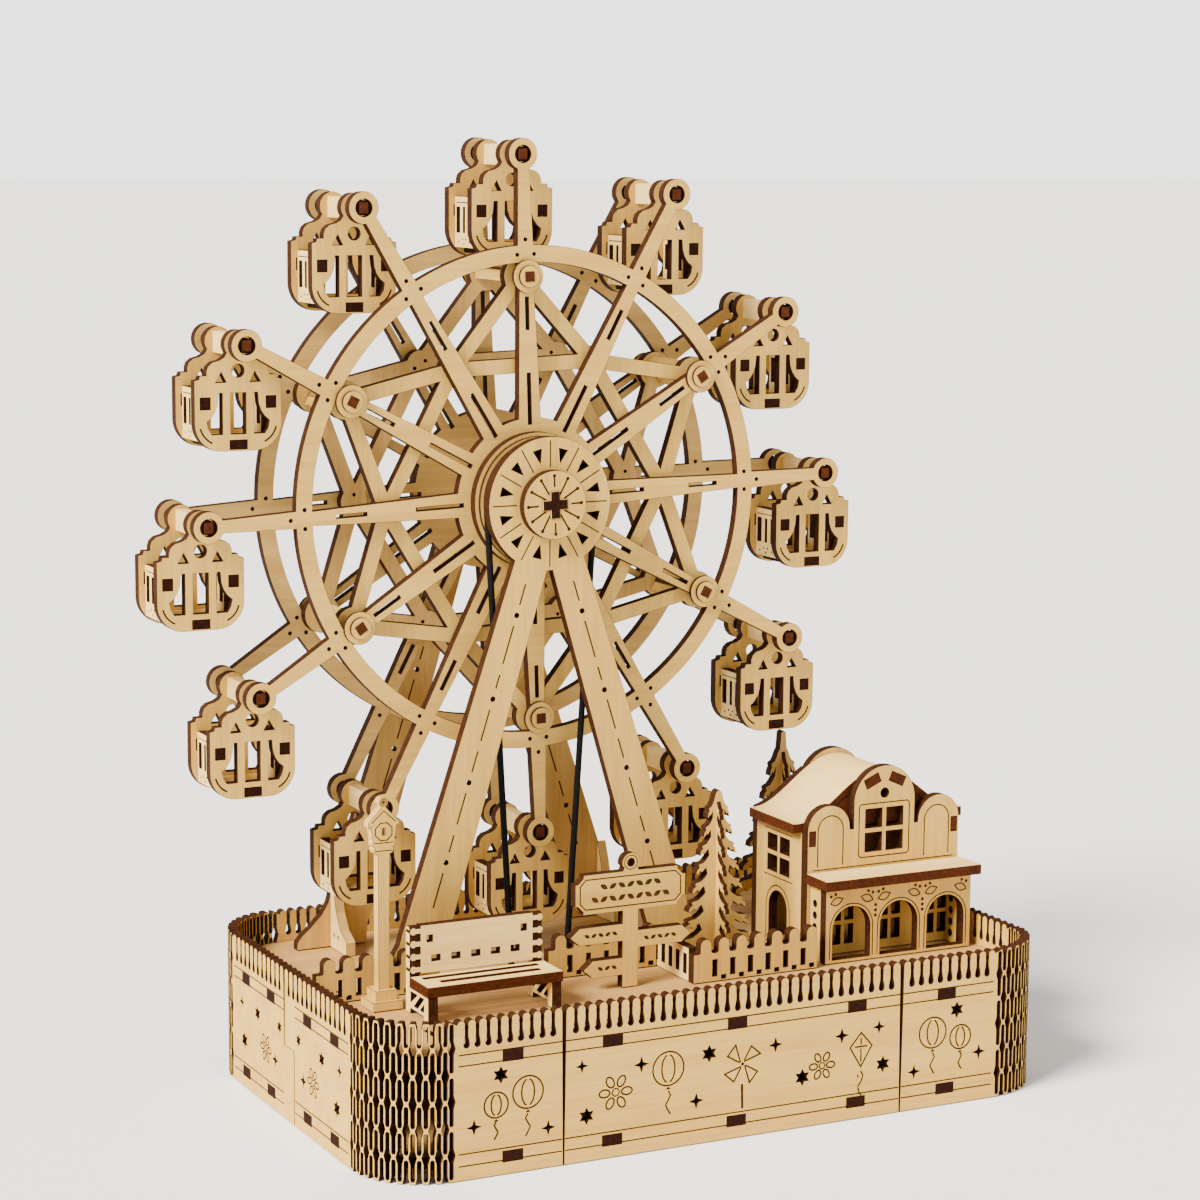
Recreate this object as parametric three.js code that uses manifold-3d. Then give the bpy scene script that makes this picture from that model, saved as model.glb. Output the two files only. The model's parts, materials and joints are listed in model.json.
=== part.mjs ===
// Laser cut plywood ferris wheel standing on a music box with a small park on its deck.
// Millimetres, +Z up, the front faces -Y. The origin is on the table, under the middle of the whole object.

import * as THREE from 'three';
import Module from 'manifold-3d';
import { mergeVertices } from 'three/addons/utils/BufferGeometryUtils.js';

const wasm = await Module();
wasm.setup();

// Stock and fits
const ply = 3;                    // thickness of the plywood sheet
const veneer = 1.2;               // thin sheet of the bent roof
const gap = 0.3;                  // clearance between two separate pieces
const over = 1;                   // how far a cutter runs past the face that it cuts
const weld = 0.001;               // vertices closer than this are one

// Music box base
const baseLength = 217.9;
const baseDepth = 134.1;
const wallHeight = 44.9;
const cornerRadius = 21.1;
const floorTop = 6.6;             // top of the floor plate above the table
const deckTop = 35;               // top of the deck above the table
const frontSeam = 54.5;           // wall joints of the front and rear, either side of the middle
const sideSeamUpper = 3.5;        // stepped wall joint of the two sides
const sideSeamLower = -4;
const seamStepHeight = 22;
const tenonWidth = 6;
const longTenonPitch = 39.5;      // wall tenons of the front and rear
const longTenonEnd = 70;
const sideTenonInner = 14.2;      // wall tenons of the two sides
const sideTenonOuter = 34.3;
const railDepth = 8;              // open slots between the balusters of the wall's top edge
const railPitch = 13.6;
const railSlot = 4;
const hingeColumns = 5;           // columns of slots that let a corner bend
const hingeRows = [2, 3];         // slots in the even and in the odd columns
const hingeSlot = 2.2;
const hingeBridge = 2.6;          // wood left between two slots of a column

// Wheel
const cabinCount = 12;
const pivotRadius = 100;
const wheelTurn = THREE.MathUtils.degToRad(1.91);   // how far the wheel has turned from upright
const armLength = 26;             // from the outside of the ring to the pivot
const ringWidth = 5;
const tieInset = 4;               // from the inside of the ring to where the cross bars pass through
const nodeShare = 0.6923;         // where the star's bars meet on a spoke, as a share of the star's radius
const starHalfWidth = 10.4;       // from the middle plane to the inner face of a star
const hubRadius = 24;
const spokeHub = 7.4;             // width of a spoke at the hub and at the ring
const spokeRing = 4.2;
const armRing = 5;                // width of an arm at the ring and at its eye
const armEye = 3.7;
const eyeRadius = 4.5;
const eyeHole = 2.5;              // across the flats of the eye's hole, halved
const starBar = 4.4;
const padRadius = 5.6;
const washerRadius = 4.8;
const washerThickness = 2.1;
const tieWidth = 8;               // cross bar between the two stars

// Hub and axle
const hubDiscRadius = 20;
const pulleyFlange = 19;
const pulleyGroove = 16;
const pulleyWidth = 5.1;
const flangeThickness = 1.3;
const capRadius = 10;
const axleSpan = 8;               // across the plus shaped axle
const axleBlade = 3;
const axleBore = 4.7;
const collarRadius = 7;

// Stand
const standDiscRadius = 19.5;
const legSlope = 0.334;           // how far a leg spreads for each millimetre that it goes down
const legTopHalf = 5.85;          // outer edge of a leg level with the axle, were it drawn on
const legTopWidth = 11.5;
const legFootWidth = 16;
const footHeight = 17;            // where the foot starts to spread
const footSpread = 5.5;
const footShare = 0.25;           // how much of the spread is reached halfway down a foot
const footTenon = 9;
const crotchDrop = 17;            // from the axle to where the two legs part
const discWindowInner = 12;       // triangular windows round the disc
const discWindowOuter = 16.2;
const discWindowWidth = 3;
const groundClearance = 9.9;      // from the deck to the lowest cabin

// Cabins
const cabinWidth = 26;
const cabinDrop = 30;             // from the pivot to the bottom
const cabinHalfDepth = 9.5;
const cabinCorner = 8;
const shoulderDrop = 9.2;
const gableHalf = 9.3;            // half width of the gable where it meets the shoulders
const gableShares = [0.78, 0.52]; // bend of the gable, as shares of its half width and of its height
const lobeRadius = 4.1;           // round end of a cabin plate about its hanger
const hangerWidth = 2.9;
const hangerHeight = 3.3;
const windowTop = 14;
const windowBottom = 25;
const windowHalf = 7.8;
const windowBar = 1.6;
const windowPane = 3.6;
const curtainShares = [0.55, 0.58]; // where the curtain's hem starts on the sill and on the side
const sideTop = 12.2;
const sideCentre = 9.5;
const cabinLip = 0.8;             // facade left below the floor

// Bench, its back towards the wheel
const benchLeft = 33;             // its middle, left of the axle
const benchBeforeWheel = 47.05;   // from the wheel's middle plane to its back
const benchWidth = 42;
const benchDepth = 16;
const benchSeat = 10.5;
const benchBack = 25;
const benchSlot = 16;             // half length of a slot between two slats
const benchSeatShares = [0.3, 0.7]; // slots of the seat, from its front to its back
const benchSlatShares = [0.42, 0.72];

// Lamp
const lampFromWall = 19.5;        // from the left wall
const lampBeforeWheel = 41;
const lampHeight = 61;
const lampPost = 4.2;
const lampBase = 9;
const lanternWidth = 9.4;
const lanternHeight = 13;
const lanternEave = 4.4;

// Signpost; heights are above the deck
const signRight = 15;             // right of the axle
const signBeforeWheel = 51;
const signPost = 5.2;
const boardWidth = 36;
const boardHeight = 11.8;
const boardBottom = 22.9;
const boardClip = 2.6;
const signRing = 3;
const arrowHeight = 5.2;
const leftArrowReach = 19.6;
const leftArrowBottom = 13.9;
const rightArrowReach = 20;
const rightArrowBottom = 11.5;
const lowArrowReach = 15.3;
const lowArrowBottom = 3.8;

// Fences
const fenceHeight = 12.6;
const picketPitch = 6.3;
const picketNotch = 2.7;
const notchDepth = 4;
const leftFence = 30;
const middleFence = 36;
const fenceFromPorch = 2.2;       // from the right fence's end to the porch roof
const leftFenceFromWall = 3;
const leftFenceBeforeWheel = 32;
const rightFenceBeforeWheel = 58.05;
const fenceBeforeStand = 7;
const sideFenceHeight = 10;
const sideFenceSlot = 2;
const sideFenceShares = [0.14, 0.38, 0.62, 0.86];

// Trees, each two crossed sheets
const treeLayers = 5;
const treeSkirt = 6;
const treeTrunk = 5;
const treeNotchShare = 0.5;       // how far out a notch lies, as a share of the branch below it
const treeRiseShare = 1.15;       // how high it lies, in layers
const frontTreeRight = 50.5;      // right of the axle
const frontTreeHalf = 12.5;
const frontTreeHalfDepth = 9.5;
const frontTreeHeight = 53;
const rearTreeFromWall = 30;
const rearTreeBehind = 14;        // behind the wheel's middle plane
const rearTreeHalf = 17;
const rearTreeHalfDepth = 13;
const rearTreeHeight = 57;

// Shop; heights are above the deck
const shopWidth = 53.8;
const shopDepth = 33;
const shopFromWall = 2.45;
const shopBeforeCabins = 4.5;
const shopWallHeight = 38;
const lobeArch = 7.4;             // round tops of the two side lobes of a gable
const lobeTop = 46.2;
const gableValley = 38.2;
const gableArch = 10.8;           // round top of its middle
const gableTop = 56.9;
const shopWindow = 13.7;
const shopWindowMiddle = 37.2;
const shopBar = 1.8;
const sideDoorFromRear = 16;
const sideDoorHalf = 6.4;
const sideDoorTop = 17;
const sideWindowMiddle = 28.2;
const sideWindowWidth = 14.3;
const sideWindowHeight = 12;
const eaveReach = 3.2;            // how far the roof stands out past the side walls
const eaveHeight = 39;
const ridgeHeight = 55.3;
const roofShares = [[0, 1], [0.35, 0.7], [0.7, 0.28], [1, 0]]; // out from the ridge, and up from the eave
const porchWidth = 51.6;
const porchDepth = 9;
const porchHeight = 23;
const porchEave = 1.6;
const porchLip = 3;
const porchArchPitch = 16.7;
const porchArchHalf = 6.2;
const porchArchTop = 17;

// Music movement, belt and key
const movementDrop = 15;          // axis of the pinned cylinder below the deck top
const driveGroove = 6.5;
const driveFlange = 8.6;
const beltWidth = 2;
const arborRadius = 1.5;
const shaftEnd = 0.5;             // how far the shaft stands out of its bearing and of its pulley
const cylinderRadius = 6.5;
const cylinderLength = 17;
const cylinderFront = -10;        // front end of the cylinder, from the wheel's middle plane
const pinHeight = 0.7;
const pinSize = 0.7;
const pinTurn = 2.4;              // radians from one pin to the next
const bedThickness = 2;
const bedMargin = 1.5;
const bearingThickness = 2;
const bearingHead = 2.4;          // stock round a bearing's bore
const addendum = 0.3;
const dedendum = 0.8;
const pinionPitch = 3.4;
const pinionTeeth = 8;
const pinionLength = 2.2;
const springWheelPitch = 10.2;
const springWheelThickness = 1.6;
const drumRadius = 8.6;
const drumLength = 12;
const endWheelPitch = 6.8;
const endWheelThickness = 1.6;
const governorPitch = 1.7;
const governorTeeth = 5;
const governorRadius = 0.8;
const governorAngle = 1.22;       // radians, from level to the line of the two axes
const flyRadius = 2.8;
const flyLength = 4.2;
const combTeeth = 10;
const combLength = 15;
const combMiddle = -1.5;
const combTooth = 8;
const combBody = 7;
const combThickness = 1;
const combSlit = 0.4;
const keyArborRadius = 1.8;
const keyReach = 17;              // how far the key stands out behind the rear wall
const keyWing = 5;
const keyWingCentre = 5.5;
const keyThickness = 2;

const wheelFromBase = -28;        // axle to the left of the base's middle
const wheelFromRear = 41.05;      // wheel's middle plane before the rear wall's outer face

// Places that follow from the sizes above
const ringOuter = pivotRadius - armLength;
const ringInner = ringOuter - ringWidth;
const starRadius = ringInner - tieInset;
const nodeRadius = starRadius * nodeShare;
const wheelBehind = baseDepth / 2 - wheelFromRear;
const leftReach = pivotRadius * Math.cos(wheelTurn) + cabinWidth / 2 - wheelFromBase;
const baseX = (leftReach - baseLength / 2) / 2;
const baseY = -keyReach / 2;
const wheelX = baseX + wheelFromBase;
const wheelY = baseY + wheelBehind;
const axleHeight = deckTop + groundClearance + cabinDrop + pivotRadius;
const starFace = starHalfWidth + ply;
const rimInnerFace = starFace + gap;
const rimFace = rimInnerFace + ply;
const hubDiscInnerFace = rimFace + gap;
const hubDiscFace = hubDiscInnerFace + ply;
const pulleyInnerFace = hubDiscFace + gap;
const pulleyFace = pulleyInnerFace + pulleyWidth;
const standInnerFace = pulleyFace + gap;
const standFace = standInnerFace + ply;
const capInnerFace = standFace + gap;
const capFace = capInnerFace + ply;
const grooveY = -(pulleyInnerFace + pulleyWidth / 2);
const cylinderHeight = deckTop - movementDrop;
const slotClear = ply + 2 * gap;
const springX = -(pinionPitch + springWheelPitch);
const combTip = cylinderRadius + pinHeight + gap;

// Outlines

function arc(u, v, radius, from, to, steps) {
  const points = [];
  for (let step = 0; step <= steps; step += 1) {
    const angle = from + (to - from) * step / steps;
    points.push([u + radius * Math.cos(angle), v + radius * Math.sin(angle)]);
  }
  return points;
}

function circle(u, v, radius, steps, turn = 0) {
  return arc(u, v, radius, turn, turn + 2 * Math.PI, steps).slice(0, -1);
}

function rectangle(u, v, width, height) {
  const halfWidth = width / 2;
  const halfHeight = height / 2;
  return [
    [u - halfWidth, v - halfHeight], [u + halfWidth, v - halfHeight],
    [u + halfWidth, v + halfHeight], [u - halfWidth, v + halfHeight],
  ];
}

function turned(points, angle) {
  const cos = Math.cos(angle);
  const sin = Math.sin(angle);
  return points.map(([u, v]) => [u * cos - v * sin, u * sin + v * cos]);
}

function moved(points, u, v) {
  return points.map((point) => [point[0] + u, point[1] + v]);
}

function mirrored(points) {
  return points.map(([u, v]) => [-u, v]).reverse();
}

function polar(radius, angle) {
  return [radius * Math.cos(angle), radius * Math.sin(angle)];
}

// A many sided hole whose flats lie at the radius
function roundHole(u, v, radius, steps) {
  return circle(u, v, radius / Math.cos(Math.PI / steps), steps, Math.PI / steps);
}

// The outline with each edge moved out by the distance, its corners mitred
function grown(points, distance) {
  const outward = (from, to) => {
    const length = Math.hypot(to[0] - from[0], to[1] - from[1]);
    return [(to[1] - from[1]) / length, (from[0] - to[0]) / length];
  };
  return points.map((point, index) => {
    const before = outward(points[(index + points.length - 1) % points.length], point);
    const after = outward(point, points[(index + 1) % points.length]);
    const mitre = distance / (1 + before[0] * after[0] + before[1] * after[1]);
    return [point[0] + (before[0] + after[0]) * mitre, point[1] + (before[1] + after[1]) * mitre];
  });
}

// Solids

function pierced(sheet, cutters) {
  return cutters.length ? cut(sheet, cutters) : sheet;
}

function extruded(points, depth) {
  const shape = new THREE.Shape(points.map(([u, v]) => new THREE.Vector2(u, v)));
  return new THREE.ExtrudeGeometry(shape, { depth, bevelEnabled: false });
}

// A sheet lying flat, its outline in X and Y
function flat(points, bottom, depth, holes = []) {
  const sheet = extruded(points, depth).translate(0, 0, bottom);
  return pierced(sheet, holes.map((hole) => flat(hole, bottom - over, depth + 2 * over)));
}

// An upright sheet facing the front, its outline in X and Z
function facing(points, front, depth, holes = []) {
  const sheet = extruded(points, depth).rotateX(Math.PI / 2).translate(0, front + depth, 0);
  return pierced(sheet, holes.map((hole) => facing(hole, front - over, depth + 2 * over)));
}

// An upright sheet facing the side, its outline in Y and Z
function sideways(points, left, depth, holes = []) {
  const basis = new THREE.Matrix4().makeBasis(
    new THREE.Vector3(0, 1, 0), new THREE.Vector3(0, 0, 1), new THREE.Vector3(1, 0, 0),
  );
  const sheet = extruded(points, depth).applyMatrix4(basis).translate(left, 0, 0);
  return pierced(sheet, holes.map((hole) => sideways(hole, left - over, depth + 2 * over)));
}

function block(width, depth, height, x, y, bottom) {
  return new THREE.BoxGeometry(width, depth, height).translate(x, y, bottom + height / 2);
}

// A round bar along Y
function bar(radius, front, length, steps, x = 0, z = 0) {
  return facing(circle(x, z, radius, steps), front, length);
}

function solid(geometry) {
  if (!geometry.isBufferGeometry) return geometry;
  geometry.deleteAttribute('normal');
  geometry.deleteAttribute('uv');
  const merged = mergeVertices(geometry, weld);
  return new wasm.Manifold(new wasm.Mesh({
    numProp: 3,
    vertProperties: merged.attributes.position.array,
    triVerts: Uint32Array.from(merged.index.array),
  }));
}

function join(...geometries) {
  return geometries.map(solid).reduce((body, item) => body.add(item));
}

function cut(body, cutters) {
  return cutters.reduce((rest, cutter) => rest.subtract(solid(cutter)), solid(body));
}

function geometryOf(body) {
  const mesh = body.asOriginal().simplify(weld).getMesh();
  const positions = Float32Array.from(mesh.vertProperties);
  const geometry = new THREE.BufferGeometry();
  geometry.setAttribute('position', new THREE.BufferAttribute(positions, mesh.numProp));
  geometry.setIndex(Array.from(mesh.triVerts));
  geometry.computeVertexNormals();
  return geometry;
}

const wood = { color: 0xe0c795, roughness: 0.72, metalness: 0 };
const paleWood = { color: 0xf0dfbe, roughness: 0.72, metalness: 0 };
const shadedWood = { color: 0xc79f68, roughness: 0.75, metalness: 0 };
const blackRubber = { color: 0x161515, roughness: 0.6, metalness: 0 };
const brass = { color: 0xc9a24a, roughness: 0.35, metalness: 0.9 };
const steel = { color: 0xb9bcc0, roughness: 0.32, metalness: 0.95 };

function piece(name, body, finish, parent) {
  const geometry = body.isBufferGeometry ? body : geometryOf(body);
  const mesh = new THREE.Mesh(geometry, new THREE.MeshStandardMaterial(finish));
  mesh.name = name;
  parent.add(mesh);
  return mesh;
}

const whole = new THREE.Group();
const box = new THREE.Group();
box.position.set(baseX, baseY, 0);
const park = new THREE.Group();
park.position.set(baseX, baseY, deckTop + gap);
const wheel = new THREE.Group();
wheel.position.set(wheelX, wheelY, axleHeight);
const movement = new THREE.Group();
movement.position.set(wheelX, wheelY, cylinderHeight);
whole.add(box, park, wheel, movement);

// Base: floor, deck and the wall that bends round the corners

const longTenons = [-longTenonEnd, -longTenonPitch, 0, longTenonPitch, longTenonEnd];
const sideTenons = [-sideTenonOuter, -sideTenonInner, sideTenonInner, sideTenonOuter];
const quarterTurn = Math.PI / 2;
const deckSlots = [];             // where feet and the belt pass through the deck

function edgeWithTenons(reach, tenons, angle) {
  const inset = reach - ply - gap;
  const half = tenonWidth / 2;
  const points = tenons.flatMap((place) => [
    [inset, place - half], [reach, place - half], [reach, place + half], [inset, place + half],
  ]);
  return turned(points, angle);
}

function tenonedPlate(bottom) {
  const u = baseLength / 2 - cornerRadius;
  const v = baseDepth / 2 - cornerRadius;
  const outline = [];
  [[u, v], [-u, v], [-u, -v], [u, -v]].forEach(([cornerU, cornerV], side) => {
    const reach = side % 2 ? baseDepth / 2 : baseLength / 2;
    const start = side * quarterTurn;
    const radius = cornerRadius - ply - gap;
    outline.push(...edgeWithTenons(reach, side % 2 ? longTenons : sideTenons, start));
    outline.push(...arc(cornerU, cornerV, radius, start, start + quarterTurn, hingeColumns));
  });
  return flat(outline, bottom, ply);
}

function wallMortises() {
  const width = tenonWidth + 2 * gap;
  return [floorTop - ply - gap, deckTop - ply - gap].flatMap((bottom) => [
    ...longTenons.map((x) => block(width, baseDepth + over, slotClear, x, 0, bottom)),
    ...sideTenons.map((y) => block(baseLength + over, width, slotClear, 0, y, bottom)),
  ]);
}

function railNotches(from, to, across, alongX) {
  const count = Math.floor((to - from) / railPitch);
  return [...Array(count).keys()].map((index) => {
    const along = (from + to) / 2 + (index + 0.5 - count / 2) * railPitch;
    const [x, y] = alongX ? [along, across] : [across, along];
    const [width, depth] = alongX ? [railSlot, ply + over] : [ply + over, railSlot];
    return block(width, depth, railDepth + over, x, y, wallHeight - railDepth);
  });
}

function straightWall(front) {
  const y = (front ? -1 : 1) * (baseDepth - ply) / 2;
  const half = frontSeam - gap / 2;
  const panel = block(2 * half, ply, wallHeight, 0, y, 0);
  return cut(panel, [...wallMortises(), ...railNotches(-half, half, y, true)]);
}

function cornerStrip(inset, seam) {
  const x = baseLength / 2 - cornerRadius;
  const y = baseDepth / 2 - cornerRadius;
  return [
    [frontSeam + gap / 2, baseDepth / 2 - inset],
    ...arc(x, y, cornerRadius - inset, quarterTurn, 0, hingeColumns),
    [baseLength / 2 - inset, seam],
  ];
}

function hingeSlots() {
  const slots = [];
  for (let column = 0; column < hingeColumns; column += 1) {
    const rows = hingeRows[column % hingeRows.length];
    const pitch = wallHeight / rows;
    for (let row = 0; row < rows; row += 1) {
      const bottom = row * pitch + hingeBridge / 2;
      const slot = block(2 * ply + over, hingeSlot, pitch - hingeBridge, cornerRadius, 0, bottom);
      slot.rotateZ(quarterTurn * (column + 0.5) / hingeColumns);
      slots.push(slot.translate(baseLength / 2 - cornerRadius, baseDepth / 2 - cornerRadius, 0));
    }
  }
  return slots;
}

// A corner is drawn at the rear right and mirrored to its place
function cornerWall(right, rear) {
  const side = rear ? 1 : -1;
  const lowerSeam = side * sideSeamLower;
  const upperSeam = side * sideSeamUpper;
  const nearest = Math.min(lowerSeam, upperSeam) + gap / 2;
  const farthest = Math.max(lowerSeam, upperSeam) + gap / 2;
  const strip = flat([...cornerStrip(0, nearest), ...cornerStrip(ply, nearest).reverse()], 0, wallHeight);
  const cutLower = lowerSeam > upperSeam;
  const stepBottom = cutLower ? -over : seamStepHeight - gap / 2;
  const stepTop = cutLower ? seamStepHeight + gap / 2 : wallHeight + over;
  const middle = (baseLength - ply) / 2;
  const stepDepth = farthest - nearest + over;
  const step = block(
    2 * ply, stepDepth, stepTop - stepBottom, middle, farthest - stepDepth / 2, stepBottom,
  );
  const wall = cut(strip, [
    step, ...wallMortises(), ...hingeSlots(),
    ...railNotches(frontSeam, baseLength / 2 - cornerRadius, (baseDepth - ply) / 2, true),
    ...railNotches(farthest, baseDepth / 2 - cornerRadius, middle, false),
  ]);
  const placed = right ? wall : wall.mirror([1, 0, 0]);
  return rear ? placed : placed.mirror([0, 1, 0]);
}

function buildBox() {
  piece('floor_plate', tenonedPlate(floorTop - ply), wood, box);
  piece('wall_front', straightWall(true), wood, box);
  const hole = roundHole(wheelFromBase + springX, cylinderHeight, keyArborRadius + 2 * gap, 8);
  const keyHole = facing(hole, baseDepth / 2 - ply - over, ply + 2 * over);
  piece('wall_rear', cut(straightWall(false), [keyHole]), wood, box);
  for (const right of [false, true]) {
    for (const rear of [false, true]) {
      const name = `wall_corner_${rear ? 'rear' : 'front'}_${right ? 'right' : 'left'}`;
      piece(name, cornerWall(right, rear), right ? wood : paleWood, box);
    }
  }
}

function buildDeck() {
  const slots = deckSlots.map((slot) => block(
    slot.width + 2 * gap, slot.depth + 2 * gap, ply + 2 * over, slot.x, slot.y, deckTop - ply - over,
  ));
  piece('deck', cut(tenonedPlate(deckTop - ply), slots), wood, box);
}

// Wheel: two rims with spokes and arms, two stars, cross bars

const sector = 2 * Math.PI / cabinCount;
const spokeAngles = [...Array(cabinCount).keys()].map((index) => quarterTurn + wheelTurn + index * sector);
const tieAngles = spokeAngles.filter((angle, index) => index % 2 === 0);

function plusOutline(clearance) {
  const reach = axleSpan / 2 + clearance;
  const half = axleBlade / 2 + clearance;
  return turned([
    [half, -reach], [half, -half], [reach, -half], [reach, half], [half, half], [half, reach],
    [-half, reach], [-half, half], [-reach, half], [-reach, -half], [-half, -half], [-half, -reach],
  ], wheelTurn);
}

function rimOutline() {
  const ringHalf = Math.asin(armRing / 2 / ringOuter);
  const eyeHalf = Math.asin(armEye / 2 / eyeRadius);
  return spokeAngles.flatMap((angle) => [
    polar(ringOuter, angle - sector / 2),
    polar(ringOuter, angle - ringHalf),
    ...turned(arc(pivotRadius, 0, eyeRadius, eyeHalf - Math.PI, Math.PI - eyeHalf, 5), angle),
    polar(ringOuter, angle + ringHalf),
  ]);
}

function rimWindow(angle) {
  const atRing = Math.asin(spokeRing / 2 / ringInner);
  const atHub = Math.asin(spokeHub / 2 / hubRadius);
  return [
    ...arc(0, 0, ringInner, angle + atRing, angle + sector - atRing, 2),
    ...arc(0, 0, hubRadius, angle + sector - atHub, angle + atHub, 1),
  ];
}

function squareHole(angle) {
  return moved(turned(rectangle(0, 0, slotClear, slotClear), angle), ...polar(starRadius, angle));
}

function rimBody(front) {
  const holes = [
    plusOutline(gap),
    ...spokeAngles.map(rimWindow),
    ...spokeAngles.map((angle) => roundHole(...polar(pivotRadius, angle), eyeHole, 6)),
    ...tieAngles.map(squareHole),
  ];
  return facing(rimOutline(), front ? -rimFace : rimInnerFace, ply, holes);
}

function starBody(front) {
  const y = front ? -starFace : starHalfWidth;
  const tie = (angle) => polar(starRadius, angle);
  const node = (angle) => polar(nodeRadius, angle);
  const star = tieAngles.flatMap((angle) => [tie(angle), node(angle + sector)]);
  const hexagon = tieAngles.map((angle) => node(angle + sector));
  const triangles = tieAngles.map((angle) => [tie(angle), node(angle + sector), node(angle - sector)]);
  const holes = [hexagon, ...triangles].map((points) => grown(points, -starBar / 2));
  const pads = tieAngles.map((angle) => facing(circle(...tie(angle), padRadius, 8, angle), y, ply));
  const body = join(facing(grown(star, starBar / 2), y, ply, holes), ...pads);
  return cut(body, tieAngles.map((angle) => facing(squareHole(angle), y - over, ply + 2 * over)));
}

function crossBar(angle) {
  const place = polar(starRadius, angle);
  const strip = moved(turned(rectangle(0, 0, ply, tieWidth), angle), ...place);
  const tenon = moved(turned(rectangle(0, 0, ply, ply), angle), ...place);
  const shoulder = starHalfWidth - gap;
  const washerFace = rimFace + gap;
  const end = washerFace + washerThickness;
  const washers = [-end, washerFace].map((front) => (
    facing(circle(...place, washerRadius, 8, angle), front, washerThickness)));
  return join(facing(strip, -shoulder, 2 * shoulder), facing(tenon, -end, 2 * end), ...washers);
}

function buildWheel() {
  for (const front of [true, false]) {
    const side = front ? 'front' : 'rear';
    piece(`wheel_rim_${side}`, rimBody(front), front ? wood : shadedWood, wheel);
    piece(`wheel_star_${side}`, starBody(front), front ? wood : shadedWood, wheel);
  }
  tieAngles.forEach((angle, index) => {
    piece(`cross_bar_${index + 1}`, crossBar(angle), wood, wheel);
  });
}

// Hub: discs, belt pulley, axle and caps

function pulleyBody(flange, groove, front, hole, steps) {
  const back = front + pulleyWidth;
  return join(
    facing(circle(0, 0, groove, steps), front, pulleyWidth, [hole]),
    facing(circle(0, 0, flange, steps), front, flangeThickness, [hole]),
    facing(circle(0, 0, flange, steps), back - flangeThickness, flangeThickness, [hole]),
  );
}

function buildHub() {
  const bore = plusOutline(gap);
  const disc = (radius, steps, front, depth) => facing(circle(0, 0, radius, steps), front, depth, [bore]);
  const collar = disc(collarRadius, 10, hubDiscFace, standInnerFace - hubDiscFace - gap);
  piece('hub_disc_front', disc(hubDiscRadius, 20, -hubDiscFace, ply), wood, wheel);
  piece('hub_disc_rear', join(disc(hubDiscRadius, 20, hubDiscInnerFace, ply), collar), shadedWood, wheel);
  piece('wheel_pulley', pulleyBody(pulleyFlange, pulleyGroove, -pulleyFace, bore, 18), wood, wheel);
  piece('axle', facing(plusOutline(0), -capFace, 2 * capFace), shadedWood, wheel);
  piece('axle_cap_front', disc(capRadius, 14, -capFace, ply), wood, wheel);
  piece('axle_cap_rear', disc(capRadius, 14, capInnerFace, ply), shadedWood, wheel);
}

// Stand: two upright A frames whose discs carry the axle

const deckDrop = axleHeight - deckTop - gap;
const footCentre = legTopHalf + legSlope * deckDrop - legFootWidth / 2;

function legOutline(side) {
  const footDrop = deckDrop - footHeight;
  const outer = (drop) => legTopHalf + legSlope * drop;
  const width = (drop) => legTopWidth + (legFootWidth - legTopWidth) * drop / deckDrop;
  const points = [
    [outer(0), 0],
    [outer(footDrop), -footDrop],
    [outer(footDrop + footHeight / 2) + footSpread * footShare, -(footDrop + footHeight / 2)],
    [outer(deckDrop) + footSpread, -(deckDrop - ply)],
    [outer(deckDrop) + footSpread, -deckDrop],
    [outer(deckDrop) - width(deckDrop), -deckDrop],
    [outer(crotchDrop) - width(crotchDrop), -crotchDrop],
    [0, -crotchDrop],
    [0, 0],
  ];
  return side > 0 ? points : mirrored(points);
}

function standBody(front) {
  const y = front ? -standFace : standInnerFace;
  const windows = [...Array(cabinCount).keys()].map((index) => turned([
    [discWindowInner, 0], [discWindowOuter, -discWindowWidth / 2], [discWindowOuter, discWindowWidth / 2],
  ], (index + 0.5) * sector));
  const feet = [-1, 1].map((side) => {
    deckSlots.push({
      x: wheelFromBase + side * footCentre, y: wheelBehind + y + ply / 2, width: footTenon, depth: ply,
    });
    return block(footTenon, ply, ply + gap + over, side * footCentre, y + ply / 2, -deckDrop - ply - gap);
  });
  const body = join(
    facing(circle(0, 0, standDiscRadius, 22), y, ply),
    facing(legOutline(-1), y, ply),
    facing(legOutline(1), y, ply),
    ...feet,
  );
  const holes = [roundHole(0, 0, axleBore, 10), ...windows];
  return cut(body, holes.map((hole) => facing(hole, y - over, ply + 2 * over)));
}

function buildStand() {
  piece('stand_front', standBody(true), wood, wheel);
  piece('stand_rear', standBody(false), shadedWood, wheel);
}

// Cabins

function cabinPlateOutline() {
  const half = cabinWidth / 2;
  const right = [
    ...arc(0, 0, lobeRadius, quarterTurn, -quarterTurn / 2, 2),
    [gableHalf * gableShares[0], -shoulderDrop * gableShares[1]],
    [gableHalf, -shoulderDrop],
    [half, -shoulderDrop],
    ...arc(half - cabinCorner, -cabinDrop + cabinCorner, cabinCorner, 0, -quarterTurn, 2),
  ];
  return [...mirrored(right).slice(0, -1), ...right];
}

function cabinWindows() {
  const inner = windowPane / 2 + windowBar;
  const centre = rectangle(0, -(windowTop + windowBottom) / 2, windowPane, windowBottom - windowTop);
  const right = [
    [inner, -windowTop],
    [inner, -windowBottom],
    [inner + (windowHalf - inner) * curtainShares[0], -windowBottom],
    [windowHalf, -windowTop - (windowBottom - windowTop) * curtainShares[1]],
  ];
  return [centre, right, mirrored(right)];
}

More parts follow.
